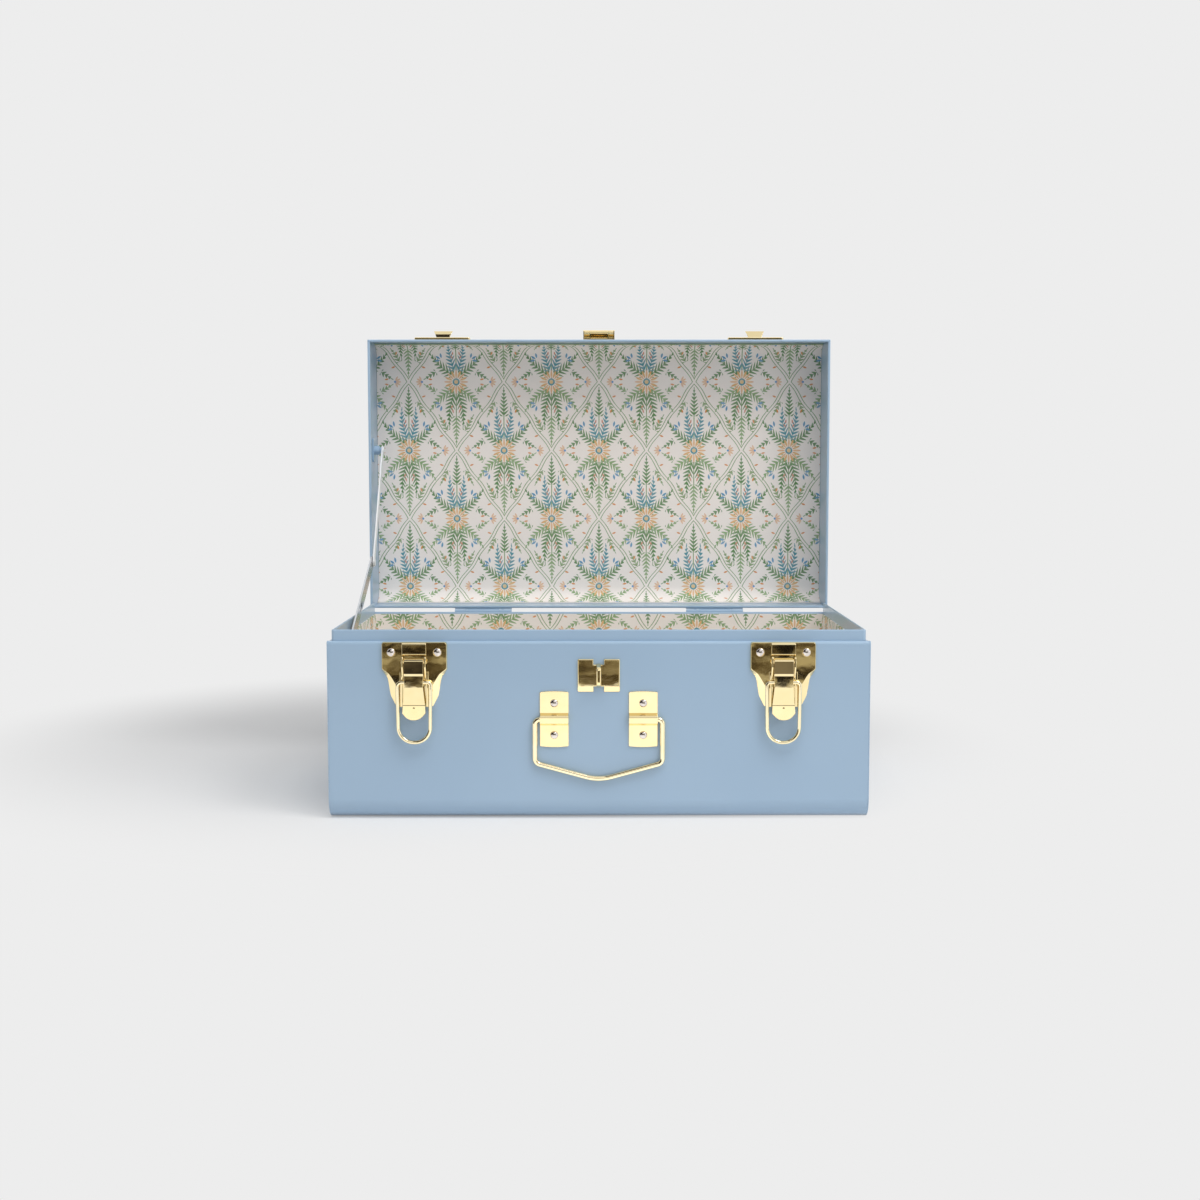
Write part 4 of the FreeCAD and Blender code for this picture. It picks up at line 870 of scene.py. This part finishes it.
    def make_heads(self, name: str, points: Sequence[Vector], half_size: Sequence[float],
                   facing: Facing, material: Material) -> Object:
        """Domed heads on points.

        Args:
            name: Name of the piece.
            points: Middle of each head's foot.
            half_size: Half width, half height and rise, in millimetres.
            facing: Which way they look.
            material: Their finish.

        Returns:
            One piece with all of them.
        """
        data = bpy.data.meshes.new(name)
        data.from_pydata([tuple(point) for point in points], [], [])
        piece = link_mesh(name, data)
        self.run(piece, self.heads, {"Half Size": tuple(size * MM for size in half_size),
                                     "Seat": self.seat * MM, "Facing": facing.value,
                                     "Finish": material})
        return piece

    def rivet(self, node: str, half: float, rise: float, facing: Facing,
              material: Material) -> None:
        """Let domed heads stand for a CAD node that holds one or two rows of two.

        Args:
            node: Name of the CAD node.
            half: Half the width of a head, in millimetres.
            rise: How far it rises, in millimetres.
            facing: Which way the heads look.
            material: Their finish.
        """
        points = corner_points(node, half * MM, facing)
        heads = self.make_heads(node + "_domes", points, (half, half, rise), facing, material)
        stand_for(heads, node, material)

    def make_wire(self, name: str, path: Sequence[tuple[float, float, float, float]],
                  radius: float, material: Material) -> Object:
        """Round wire along a path.

        Args:
            name: Name of the piece.
            path: Each corner's place and the radius of its bend.
            radius: Radius of the wire.
            material: Its finish.

        Returns:
            The wire.
        """
        data = bpy.data.meshes.new(name)
        data.from_pydata([corner[:3] for corner in path],
                         [(index, index + 1) for index in range(len(path) - 1)], [])
        bends = data.attributes.new("bend", "FLOAT", "POINT")
        for item, corner in zip(bends.data, path):
            item.value = corner[3]
        piece = link_mesh(name, data)
        self.run(piece, self.wire, {"Wire Radius": radius, "Finish": material})
        piece.data.set_sharp_from_angle(angle=SMOOTH_ANGLE)
        return piece


# Lining


@dataclass(frozen=True)
class Board:
    """A papered board that takes the place of a CAD node: an outline drawn from side to side.

    The path gives the outline's corners in metres, each with the radius of its bend. The board
    bends away from its outer side, which lies to the right of the path, or to its left if hand
    is -1. It is thick millimetres thick, and a bend has steps flats.
    """

    name: str
    node: str
    body: str
    slot: str
    path: tuple[tuple[float, float, float], ...]
    hand: int = 1
    thick: float = 1.2
    steps: int = 12

    def bent(self, inset: float) -> list[tuple[float, float, float]]:
        """Points along the outline, pulled in by an inset, each with its length so far.

        Args:
            inset: How far inside the outer outline, in metres.

        Returns:
            Two coordinates and the length along the outer outline for each point.
        """
        corners = [Vector(corner[:2]) for corner in self.path]
        first = (corners[1] - corners[0]).normalized()
        last = (corners[-1] - corners[-2]).normalized()
        made = [(corners[0], Vector((first.y, -first.x)) * self.hand)]
        for before, here, after, corner in zip(corners, corners[1:], corners[2:], self.path[1:]):
            back = (before - here).normalized()
            onward = (after - here).normalized()
            centre = here + (back + onward) * corner[2]
            for step in range(self.steps + 1):
                angle = math.pi / 2 * step / self.steps
                spoke = -onward * math.cos(angle) - back * math.sin(angle)
                made.append((centre + spoke * corner[2], spoke))
        made.append((corners[-1], Vector((last.y, -last.x)) * self.hand))
        line = []
        length = 0.0
        previous = corners[0]
        for point, spoke in made:
            length += (point - previous).length
            previous = point
            line.append((*(point - spoke * inset), length))
        return line

    def build(self, paper: Material) -> None:
        """Bend the board along its outline, with the print wrapped round it.

        Args:
            paper: Printed paper.
        """
        low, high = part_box(self.node)
        outer, inner = self.bent(0.0), self.bent(self.thick * MM)
        middle = outer[len(outer) // 2][2]
        lengths = [length - middle for _, _, length in outer]
        mesh = bmesh.new()
        sheet = mesh.loops.layers.uv.new("print")
        outer_low, inner_low, outer_high, inner_high = [
            [mesh.verts.new((across, first, second)) for first, second, _ in line]
            for across in (low.x, high.x) for line in (outer, inner)]
        faces = []
        for index, (start, end) in enumerate(zip(lengths, lengths[1:])):
            strip = [(low.x, start), (high.x, start), (high.x, end), (low.x, end)]
            for left, right in ((outer_low, outer_high), (inner_low, inner_high)):
                faces.append(([left[index], right[index], right[index + 1], left[index + 1]],
                              strip))
            for near, far in ((outer_low, inner_low), (outer_high, inner_high)):
                faces.append(([near[index], near[index + 1], far[index + 1], far[index]], strip))
        for index in (0, -1):
            faces.append(([outer_low[index], outer_high[index], inner_high[index],
                           inner_low[index]], [(low.x, lengths[index])] * 4))
        for corners, places in faces:
            for loop, place in zip(mesh.faces.new(corners).loops, places):
                loop[sheet].uv = place
        data = self.finish(mesh, paper)
        for polygon in data.polygons:
            polygon.use_smooth = True
        data.set_sharp_from_angle(angle=SMOOTH_ANGLE)

    def build_flat(self, paper: Material) -> None:
        """Cut the board flat to its outline, with the print laid on both sides.

        Args:
            paper: Printed paper.
        """
        low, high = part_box(self.node)
        outline = self.bent(0.0)
        mesh = bmesh.new()
        sheet = mesh.loops.layers.uv.new("print")
        left, right = [[mesh.verts.new((across, first, second)) for first, second, _ in outline]
                       for across in (low.x, high.x)]
        mesh.faces.new(left)
        mesh.faces.new(right)
        for index in range(len(outline)):
            after = (index + 1) % len(outline)
            mesh.faces.new([left[index], left[after], right[after], right[index]])
        for face in mesh.faces:
            for loop in face.loops:
                loop[sheet].uv = loop.vert.co.yz
        self.finish(mesh, paper)

    def finish(self, mesh: bmesh.types.BMesh, paper: Material) -> Mesh:
        """Turn the board's faces outwards and let it stand for its CAD node.

        Args:
            mesh: Its faces.
            paper: Printed paper.

        Returns:
            Its mesh.
        """
        bmesh.ops.recalc_face_normals(mesh, faces=mesh.faces)
        data = bpy.data.meshes.new(self.name)
        mesh.to_mesh(data)
        mesh.free()
        data.materials.append(paper)
        board = link_mesh(self.name, data)
        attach(board, self.body)
        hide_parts(self.node)
        log.info("%s stands for %s in %s", self.name, self.node, paper.name)
        return data


@dataclass(frozen=True)
class Linings:
    """Papered boards of the body and the lid, with the radii of their bends in millimetres."""

    front_bend: float = 13.2
    back_bend: float = 16.5
    lid_bend: float = 17.6

    def trough(self, node: str) -> tuple[tuple[float, float, float], ...]:
        """Outline down the front, over the bottom and up the back.

        Args:
            node: CAD node whose box it fills.

        Returns:
            Its corners with their bends.
        """
        low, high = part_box(node)
        return ((low.y, high.z, 0), (low.y, low.z, self.front_bend * MM),
                (high.y, low.z, self.back_bend * MM), (high.y, high.z, 0))

    def arch(self, node: str) -> tuple[tuple[float, float, float], ...]:
        """Outline round the inside of the lid's top, with the lid standing open.

        Args:
            node: CAD node whose box it fills.

        Returns:
            Its corners with their bends.
        """
        low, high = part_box(node)
        bend = self.lid_bend * MM
        return ((low.y, high.z, 0), (high.y, high.z, bend), (high.y, low.z, bend),
                (low.y, low.z, 0))

    def build(self) -> None:
        """Make each board in the place of its CAD node."""
        paper = PrintedPaper().make()
        Board("body_print", "body_lining", "body", "body_print",
              self.trough("body_lining")).build(paper)
        Board("lid_print", "lid_lining", "lid", "lid_print", self.arch("lid_lining"),
              hand=-1).build(paper)
        for side in SIDES:
            node = "lining_end_" + side
            Board("print_end_" + side, node, "body", "body_print",
                  self.trough(node)).build_flat(paper)


# Painted shell and plated hardware, with sizes in millimetres


@dataclass
class Metals:
    """Finishes of the fittings."""

    gold: Material
    nickel: Material
    wire: Material
    zinc: Material
    bright_zinc: Material
    stain: Material
    pit: Material

    @classmethod
    def mix(cls) -> "Metals":
        """Make each finish once.

        Returns:
            All of them.
        """
        return cls(
            # Thin gold over polished steel: a clear pale yellow mirror with hardly a scratch
            gold=PlatedMetal("gold_plating", "#FAE9BC", "#F5E0AA", 0.04, hairline=0.012).make(),
            # Barrel-plated rivets: small warm grey mirrors
            nickel=PlatedMetal("nickel_plating", "#DAD4D0", "#CFC7C1", 0.08).make(),
            # Wire keeps the die's drag marks under its gold, so its glints are a little wider. Its
            # gold is painted paler than the plates', a painted highlight
            wire=PlatedMetal("drawn_gold_wire", "#FDF1CE", "#F9E8BC", 0.07).make(),
            # One zinc for the stay in two painted copies: this bluish grey one, which only half
            # mirrors, is painted shade
            zinc=PlatedMetal("zinc_painted_shade", "#C4C7CB", "#AEB2B6", 0.2).make(),
            # The nearly white copy, which mirrors little, is painted light
            bright_zinc=PlatedMetal("bright_zinc", "#F8F9FA", "#F2F4F6", 0.3,
                                    metallic=0.12).make(),
            # The staked marks beside the handle's barrel are painted a deep amber, darker than the
            # gold round them
            stain=PlatedMetal("stained_gold", "#D9A03C", "#B5812F", 0.2).make(),
            # Nearly black gold: painted shade in the dimple of the lever's tab
            pit=PlatedMetal("dimple_shade_gold", "#4A3A1E", "#2E2412", 0.4).make(),
        )


@dataclass(frozen=True)
class Shell:
    """Painted body and lid."""

    edge_mm: float = 0.25
    flat_mm: float = 8.0
    sheets: tuple[str, ...] = ("body_wrap", "body_end_left", "body_end_right", "body_rim",
                               "lid_wrap", "lid_end_left", "lid_end_right")

    def build(self, enamel: Material) -> None:
        """Paint every sheet of the shell.

        Args:
            enamel: Its paint.
        """
        for sheet in self.sheets:
            softened(sheet, enamel, self.edge_mm, self.flat_mm)


@dataclass(frozen=True)
class Hinge:
    """One painted strap hinge behind the trunk."""

    side: str
    edge: float = 0.15
    rivet: float = 3.7
    rivet_rise: float = 2.2

    def build(self, shop: Workshop, enamel: Material) -> None:
        """Make both leaves, the pin and the rivets.

        Args:
            shop: Geometry Nodes trees.
            enamel: The shell's paint.
        """
        name = "hinge_" + self.side
        for part in ("body_leaf", "lid_leaf", "pin"):
            softened(f"{name}_{part}", enamel, self.edge)
        for part, facing in (("body", Facing.BACK), ("lid", Facing.DOWN)):
            shop.rivet(f"{name}_{part}_rivets", self.rivet, self.rivet_rise, facing, enamel)


@dataclass(frozen=True)
class Latch:
    """One draw latch: pressed plate, lever with a finger tab, wire loop, pin and rivets."""

    side: str
    rivet: float = 4.0
    rivet_rise: float = 2.5
    wire: float = 1.75
    end_half: float = 6.7
    top_half: float = 15.2
    foot_half: float = 14.5
    shoulder_bend: float = 3.2
    foot_bend: float = 14.0
    # The dimple's painted shade: half size and rise of its nearly black disc, and where it sits on
    # the tab
    dimple: tuple[float, float, float] = (1.1, 0.85, 0.1)
    dimple_drop: float = 61.0
    dimple_rise: float = 8.75

    def build(self, shop: Workshop, metals: Metals) -> None:
        """Make the latch.

        Args:
            shop: Geometry Nodes trees.
            metals: Finishes.
        """
        name = "latch_" + self.side
        for part, edge in (("plate", 0.4), ("lever", 0.25), ("pin", 0.2)):
            softened(f"{name}_{part}", metals.gold, edge)
        self.make_loop(shop, name + "_loop", metals.wire)
        shop.rivet(name + "_rivets", self.rivet, self.rivet_rise, Facing.FRONT, metals.nickel)
        self.make_dimple_shade(shop, name, metals.pit)

    def make_loop(self, shop: Workshop, node: str, gold: Material) -> None:
        """Bend the wire loop, from one end in the lever round to the other.

        Args:
            shop: Geometry Nodes trees.
            node: Name of its CAD node.
            gold: Its finish.
        """
        low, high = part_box(node)
        middle = (low.x + high.x) / 2
        depth = (low.y + high.y) / 2
        top = high.z - self.wire * MM
        foot = low.z + self.wire * MM
        right = [(self.end_half, top, 0.0), (self.top_half, top, self.shoulder_bend),
                 (self.foot_half, foot, self.foot_bend)]
        line = right + [(-across, up, bend) for across, up, bend in reversed(right)]
        path = [(middle + across * MM, depth, up, bend * MM) for across, up, bend in line]
        stand_for(shop.make_wire(node + "_wire", path, self.wire * MM, gold), node, gold)

    def make_dimple_shade(self, shop: Workshop, name: str, pit: Material) -> None:
        """Lay a nearly flat, nearly black disc on the finger tab: painted shade for its small
        dimple.

        Args:
            shop: Geometry Nodes trees.
            name: Name of the latch.
            pit: Nearly black paint of the dimple's shade.
        """
        low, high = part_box(name + "_lever")
        body_low, body_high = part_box("body_wrap")
        spot = Vector(((low.x + high.x) / 2, body_low.y - self.dimple_rise * MM,
                       body_high.z - self.dimple_drop * MM))
        dimple = shop.make_heads(name + "_dimple_shade", [spot], self.dimple, Facing.FRONT, pit)
        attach(dimple, name + "_lever")
        log.info("%s rides %s_lever in %s", dimple.name, name, pit.name)


@dataclass(frozen=True)
class Catch:
    """One catch on the lid: a pressed plate with a flared hook, and two nearly flush rivets."""

    side: str
    edge: float = 0.2
    rivet: float = 4.0
    rivet_rise: float = 0.5

    def build(self, shop: Workshop, metals: Metals) -> None:
        """Make the catch.

        Args:
            shop: Geometry Nodes trees.
            metals: Finishes.
        """
        name = "catch_" + self.side
        softened(name + "_plate", metals.gold, self.edge)
        shop.rivet(name + "_rivets", self.rivet, self.rivet_rise, Facing.UP, metals.nickel)


@dataclass(frozen=True)
class Hasp:
    """Staple plate on the body, tray, flap and pin on the lid."""

    rivet: float = 3.7
    rivet_rise: float = 2.2

    def build(self, shop: Workshop, metals: Metals) -> None:
        """Make the hasp.

        Args:
            shop: Geometry Nodes trees.
            metals: Finishes.
        """
        for part, edge in (("plate", 0.35), ("bracket", 0.2), ("flap", 0.2), ("pin", 0.2)):
            softened("hasp_" + part, metals.gold, edge)
        shop.rivet("hasp_rivets", self.rivet, self.rivet_rise, Facing.UP, metals.nickel)


@dataclass(frozen=True)
class Handle:
    """Drop handle: a wire bail in two riveted brackets."""

    edge: float = 0.35
    rivet: float = 3.7
    rivet_rise: float = 2.2
    wire: float = 2.4
    end_half: float = 28.6
    half: float = 58.8
    side_drop: float = 40.6
    drop: float = 56.6
    top_bend: float = 4.3
    side_bend: float = 6.0
    foot_bend: float = 45.0
    stake: tuple[float, float, float] = (3.7, 0.6, 0.6)
    stake_reach: float = 4.6
    stake_out: float = 2.9

    def build(self, shop: Workshop, metals: Metals) -> None:
        """Make the handle.

        Args:
            shop: Geometry Nodes trees.
            metals: Finishes.
        """
        for side in SIDES:
            softened("handle_bracket_" + side, metals.gold, self.edge)
            self.make_stakes(shop, side, metals.stain)
        self.make_bail(shop, metals.wire)
        shop.rivet("handle_rivets", self.rivet, self.rivet_rise, Facing.FRONT, metals.nickel)

    def make_bail(self, shop: Workshop, gold: Material) -> None:
        """Bend the bail.

        Args:
            shop: Geometry Nodes trees.
            gold: Its finish.
        """
        low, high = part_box("handle_bail")
        depth = (low.y + high.y) / 2
        top = high.z - self.wire * MM
        right = [(self.end_half, 0.0, 0.0), (self.half, 0.0, self.top_bend),
                 (self.half, self.side_drop, self.side_bend)]
        line = right + [(0.0, self.drop, self.foot_bend)]
        line += [(-across, down, bend) for across, down, bend in reversed(right)]
        path = [(across * MM, depth, top - down * MM, bend * MM) for across, down, bend in line]
        stand_for(shop.make_wire("handle_bail_wire", path, self.wire * MM, gold),
                  "handle_bail", gold)

    def make_stakes(self, shop: Workshop, side: str, stain: Material) -> None:
        """Mark where the strap was staked, above and below its barrel.

        Args:
            shop: Geometry Nodes trees.
            side: Left or right.
            stain: Deep amber paint of the marks, darker than the gold round them.
        """
        low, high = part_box("handle_bracket_" + side)
        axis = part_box("handle_bail")[1].z - self.wire * MM
        depth = high.y - self.stake_out * MM
        points = [Vector(((low.x + high.x) / 2, depth, axis + way * self.stake_reach * MM))
                  for way in (-1, 1)]
        marks = shop.make_heads("handle_stakes_" + side, points, self.stake, Facing.FRONT, stain)
        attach(marks, "body")
        log.info("%s rides body in %s", marks.name, stain.name)


@dataclass(frozen=True)
class Stay:
    """Folding stay inside the left end: foot plate, two links, rivets and the lid's bracket."""

    edge: float = 0.2
    painted_shade_parts: tuple[str, ...] = ("foot_plate", "foot_rivet", "lower_link")
    bright: tuple[str, ...] = ("elbow_rivet", "upper_link", "lid_rivet")
    painted: tuple[str, ...] = ("lid_bracket",)

    def build(self, metals: Metals, enamel: Material) -> None:
        """Plate its links, and paint the lid's bracket with the lid.

        Args:
            metals: Finishes.
            enamel: The shell's paint.
        """
        # The foot plate, its rivet and the lower link take the zinc's painted-shade copy; the upper
        # link and its rivets take its painted-light copy
        for parts, finish in ((self.painted_shade_parts, metals.zinc), (self.bright, metals.bright_zinc),
                              (self.painted, enamel)):
            for part in parts:
                softened("stay_" + part, finish, self.edge)


# Studio


@dataclass(frozen=True)
class Lamp:
    """A soft box: where it stands, what it looks at, its size in metres and its power."""

    name: str
    place: tuple[float, float, float]
    target: tuple[float, float, float]
    width: float
    height: float
    watts: float
    mirrored: bool = True

    def make(self) -> None:
        """Set the lamp up."""
        data = bpy.data.lights.new(self.name, "AREA")
        data.shape = "RECTANGLE"
        data.size = self.width
        data.size_y = self.height
        data.energy = self.watts
        lamp = bpy.data.objects.new(self.name, data)
        lamp.visible_glossy = self.mirrored
        lamp.location = self.place
        aim = Vector(self.target) - Vector(self.place)
        lamp.rotation_euler = aim.to_track_quat("-Z", "Y").to_euler()
        bpy.context.scene.collection.objects.link(lamp)


@dataclass(frozen=True)
class Card:
    """A card beside the set that only reflections show, and that lights nothing.

    It has two opposite corners if it is level or upright, and four if it leans. Its tone wanders
    through three shades, in patches of a size in metres.
    """

    name: str
    corners: tuple[tuple[float, float, float], ...]
    shades: tuple[str, str, str]
    strength: float = 1.0
    patch: float = 0.8

    def outline(self) -> tuple[tuple[float, float, float], ...]:
        """Work out the corners that are left out.

        Returns:
            All four corners in turn.
        """
        if len(self.corners) != 2:
            return self.corners
        low, high = self.corners
        if low[2] == high[2]:
            return (low, (high[0], low[1], low[2]), high, (low[0], high[1], low[2]))
        return (low, (high[0], high[1], low[2]), high, (low[0], low[1], high[2]))

    def make(self) -> None:
        """Hang the card."""
        material, tree = new_material(self.name)
        place = add_node(tree, "ShaderNodeTexCoord").outputs["Object"]
        cloud = add_node(tree, "ShaderNodeTexNoise", {
            "Vector": place, "Scale": 1 / self.patch, "Detail": 2.0})
        ramp = add_node(tree, "ShaderNodeValToRGB", {"Fac": cloud})
        stops = ramp.color_ramp.elements
        stops[0].position, stops[0].color = 0.38, linear(self.shades[0])
        stops[1].position, stops[1].color = 0.62, linear(self.shades[2])
        stops.new(0.5).color = linear(self.shades[1])
        glow = add_node(tree, "ShaderNodeEmission", {"Color": ramp, "Strength": self.strength})
        add_node(tree, "ShaderNodeOutputMaterial", {"Surface": glow})
        material.cycles.emission_sampling = "NONE"
        data = bpy.data.meshes.new(self.name)
        data.from_pydata(self.outline(), [], [(0, 1, 2, 3)])
        data.materials.append(material)
        card = link_mesh(self.name, data)
        card.visible_camera = False
        card.visible_diffuse = False
        card.visible_shadow = False
        card.visible_transmission = False
        card.visible_volume_scatter = False


# Shades of the glowing cards that paint the floor's reflection near the trunk, and of the pale
# cards
NEAR_FLOOR_REFLECTION = ("#F2F1EF", "#F8F7F5", "#FDFCFA")
PALE_CARD = ("#F6F4F0", "#FAF8F4", "#FDFBF8")


@dataclass(frozen=True)
class Studio:
    """Camera, pale floor, backdrop, lights and the cards that reflections show."""

    backdrop: str = "#EDEDED"
    floor: str = "#F4F4F4"
    floor_half: float = 15.0
    shadow_centre: tuple[float, float, float] = (-0.15, 0.3, 0)
    fade_from: float = 0.3
    fade_to: float = 0.66
    room_light: float = 0.36
    sensor_mm: float = 36.0
    lens_mm: float = 50.0
    pitch: float = 4.9
    place: tuple[float, float, float] = (0.00115, -1.6669, 0.3343)
    lamps: tuple[Lamp, ...] = (
        Lamp("key", (1.3, -0.95, 2.15), (0, 0, 0.15), 1.0, 1.0, 15),
        Lamp("fill", (1.5, -1.8, 1.25), (0, 0, 0.25), 1.2, 1.0, 7, False),
        Lamp("top", (0.0, -1.1, 2.4), (0, 0, 0.15), 1.5, 1.5, 25, False),
    )
    cards: tuple[Card, ...] = (
        # Glowing cards laid over the floor near the trunk paint it brighter in the metal's
        # reflections than the floor is, most of all in the handle's
        Card("near_floor_reflection", ((-0.13, -1.045, 0.001), (0.13, -0.15, 0.001)), NEAR_FLOOR_REFLECTION, 1.38, 0.9),
        Card("near_left_reflection", ((-1.3, -1.045, 0.001), (-0.13, -0.15, 0.001)), NEAR_FLOOR_REFLECTION, 1.16, 0.9),
        Card("near_right_reflection", ((0.13, -1.045, 0.001), (1.3, -0.15, 0.001)), NEAR_FLOOR_REFLECTION, 1.16, 0.9),
        # Past them, dark mottled cards paint a dark and mottled room into the reflections of the
        # metal above the lever's tab
        Card("mottled_floor_reflection", ((-0.75, -1.75, 0.001), (1.0, -1.045, 0.001)),
             ("#150F08", "#5C5038", "#B4AC92"), 1.0, 0.13),
        Card("dark_floor_reflection", ((-0.75, -5.0, 0.001), (1.0, -1.75, 0.001)),
             ("#2E2822", "#5E5446", "#8A8270"), 1.0, 0.4),
        Card("dark_wall_reflection", ((-2.6, -5.0, 0.0), (2.6, -5.0, 1.5)),
             ("#1E1B19", "#5A5348", "#7E776A"), 1.0, 0.7),
        # Pale cards in front, above and to the right give wires and domes their highlights, and
        # dark flags beside them draw the lines along the wires and the spots in the domes
        Card("front_card", ((-0.6, -2.7, 0.8), (1.0, -2.7, 1.75)), PALE_CARD, 1.3, 0.9),
        Card("high_flag", ((-1.2, -2.5, 1.85), (-0.36, -2.5, 1.85), (-0.36, -0.8, 3.0),
                           (-1.2, -0.8, 3.0)), ("#2A2624", "#3A3632", "#4C4742")),
        Card("back_card", ((-1.4, 0.25, 2.4), (1.4, 2.4, 2.4)),
             ("#F8F8F8", "#FBFBFB", "#FFFFFF"), 1.3, 0.9),
        Card("left_flag", ((-0.6, -2.7, 0.5), (-2.7, -1.2, 0.4), (-2.2, -0.7, 2.6),
                           (-0.6, -2.0, 2.6)), ("#262220", "#34302C", "#48433E")),
        Card("side_flag", ((-2.7, -3.4, 0.0), (-2.7, -0.2, 1.2)),
             ("#4E463E", "#6A6056", "#857A6E")),
        Card("right_card", ((1.9, -2.4, 0.05), (1.9, -0.3, 1.0)), PALE_CARD, 1.4, 0.9),
        Card("thin_flag", ((0.273, -1.046, 0.002), (0.80, -4.98, 0.002), (0.725, -4.98, 0.002),
                           (0.257, -1.046, 0.002)), ("#0E0C0A", "#14110E", "#1B1713")),
    )

    def build(self) -> None:
        """Set up everything around the object."""
        self.make_camera()
        self.make_floor()
        self.make_world()
        for item in self.lamps + self.cards:
            item.make()

    def make_camera(self) -> None:
        """The camera, level with the top of the open lid and tipped down a little."""
        data = bpy.data.cameras.new("camera")
        data.sensor_width = self.sensor_mm
        data.lens = self.lens_mm
        data.clip_start = 0.05
        data.clip_end = 100.0
        camera = bpy.data.objects.new("camera", data)
        camera.location = self.place
        camera.rotation_euler = (math.radians(90 - self.pitch), 0, 0)
        bpy.context.scene.collection.objects.link(camera)
        bpy.context.scene.camera = camera

    def seen(self, tree: NodeTree) -> Node:
        """A node that is 1 for rays from the camera, a mirror or glass, and 0 for the rest.

        Args:
            tree: Tree that takes the node.

        Returns:
            The node.
        """
        ray = add_node(tree, "ShaderNodeLightPath")
        shiny = add_node(tree, MATH, {
            0: ray.outputs["Is Glossy Ray"], 1: ray.outputs["Is Transmission Ray"]
        }, operation="MAXIMUM")
        return add_node(tree, MATH, {
            0: ray.outputs["Is Camera Ray"], 1: shiny}, operation="MAXIMUM")

    def make_floor(self) -> None:
        """A pale sheet that keeps the object's shadow and fades into the backdrop."""
        half = self.floor_half
        data = bpy.data.meshes.new("floor")
        data.from_pydata([(-half, -half, 0), (half, -half, 0), (half, half, 0), (-half, half, 0)],
                         [], [(0, 1, 2, 3)])
        link_mesh("floor", data)
        material, tree = new_material("pale_floor")
        place = add_node(tree, "ShaderNodeTexCoord").outputs["Object"]
        from_shadow = add_node(tree, VECTOR_MATH, {
            0: place, 1: self.shadow_centre}, operation="SUBTRACT")
        far = add_node(tree, VECTOR_MATH, {0: from_shadow}, operation="LENGTH")
        fade = add_node(tree, "ShaderNodeMapRange", {
            "Value": far.outputs["Value"], "From Min": self.fade_from, "From Max": self.fade_to
        }, interpolation_type="SMOOTHSTEP")
        shown = add_node(tree, MATH, {0: fade, 1: self.seen(tree)}, operation="MULTIPLY")
        sheet = add_node(tree, "ShaderNodeBsdfDiffuse", {"Color": linear(self.floor)})
        glow = add_node(tree, "ShaderNodeEmission", {
            "Color": linear(self.backdrop), "Strength": 1.0})
        both = add_node(tree, "ShaderNodeMixShader", {0: shown, 1: sheet, 2: glow})
        add_node(tree, "ShaderNodeOutputMaterial", {"Surface": both})
        data.materials.append(material)

    def make_world(self) -> None:
        """A plain even room; what is seen of it has the backdrop's colour."""
        world = bpy.data.worlds.new("room")
        bpy.context.scene.world = world
        world.use_nodes = True
        tree = world.node_tree
        tree.nodes.clear()
        room = add_node(tree, "ShaderNodeBackground", {
            "Color": linear("#FFFFFF"), "Strength": self.room_light})
        seen = add_node(tree, "ShaderNodeBackground", {
            "Color": linear(self.backdrop), "Strength": 1.0})
        both = add_node(tree, "ShaderNodeMixShader", {0: self.seen(tree), 1: room, 2: seen})
        add_node(tree, "ShaderNodeOutputWorld", {"Surface": both})


def save_sizes() -> None:
    """Bring the view layer up to date."""
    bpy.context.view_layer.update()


def main() -> None:
    """Build the studio, then dress the trunk piece by piece."""
    logging.basicConfig(level=logging.INFO, format="%(name)s: %(message)s")
    bpy.context.scene.view_settings.view_transform = "Standard"
    Studio().build()
    shop = Workshop()
    metals = Metals.mix()
    enamel = StoveEnamel().make()
    Shell().build(enamel)
    for side in SIDES:
        Hinge(side).build(shop, enamel)
        Latch(side).build(shop, metals)
        Catch(side).build(shop, metals)
    Hasp().build(shop, metals)
    Handle().build(shop, metals)
    Stay().build(metals, enamel)
    Linings().build()
    save_sizes()


if __name__ == "__main__":
    main()
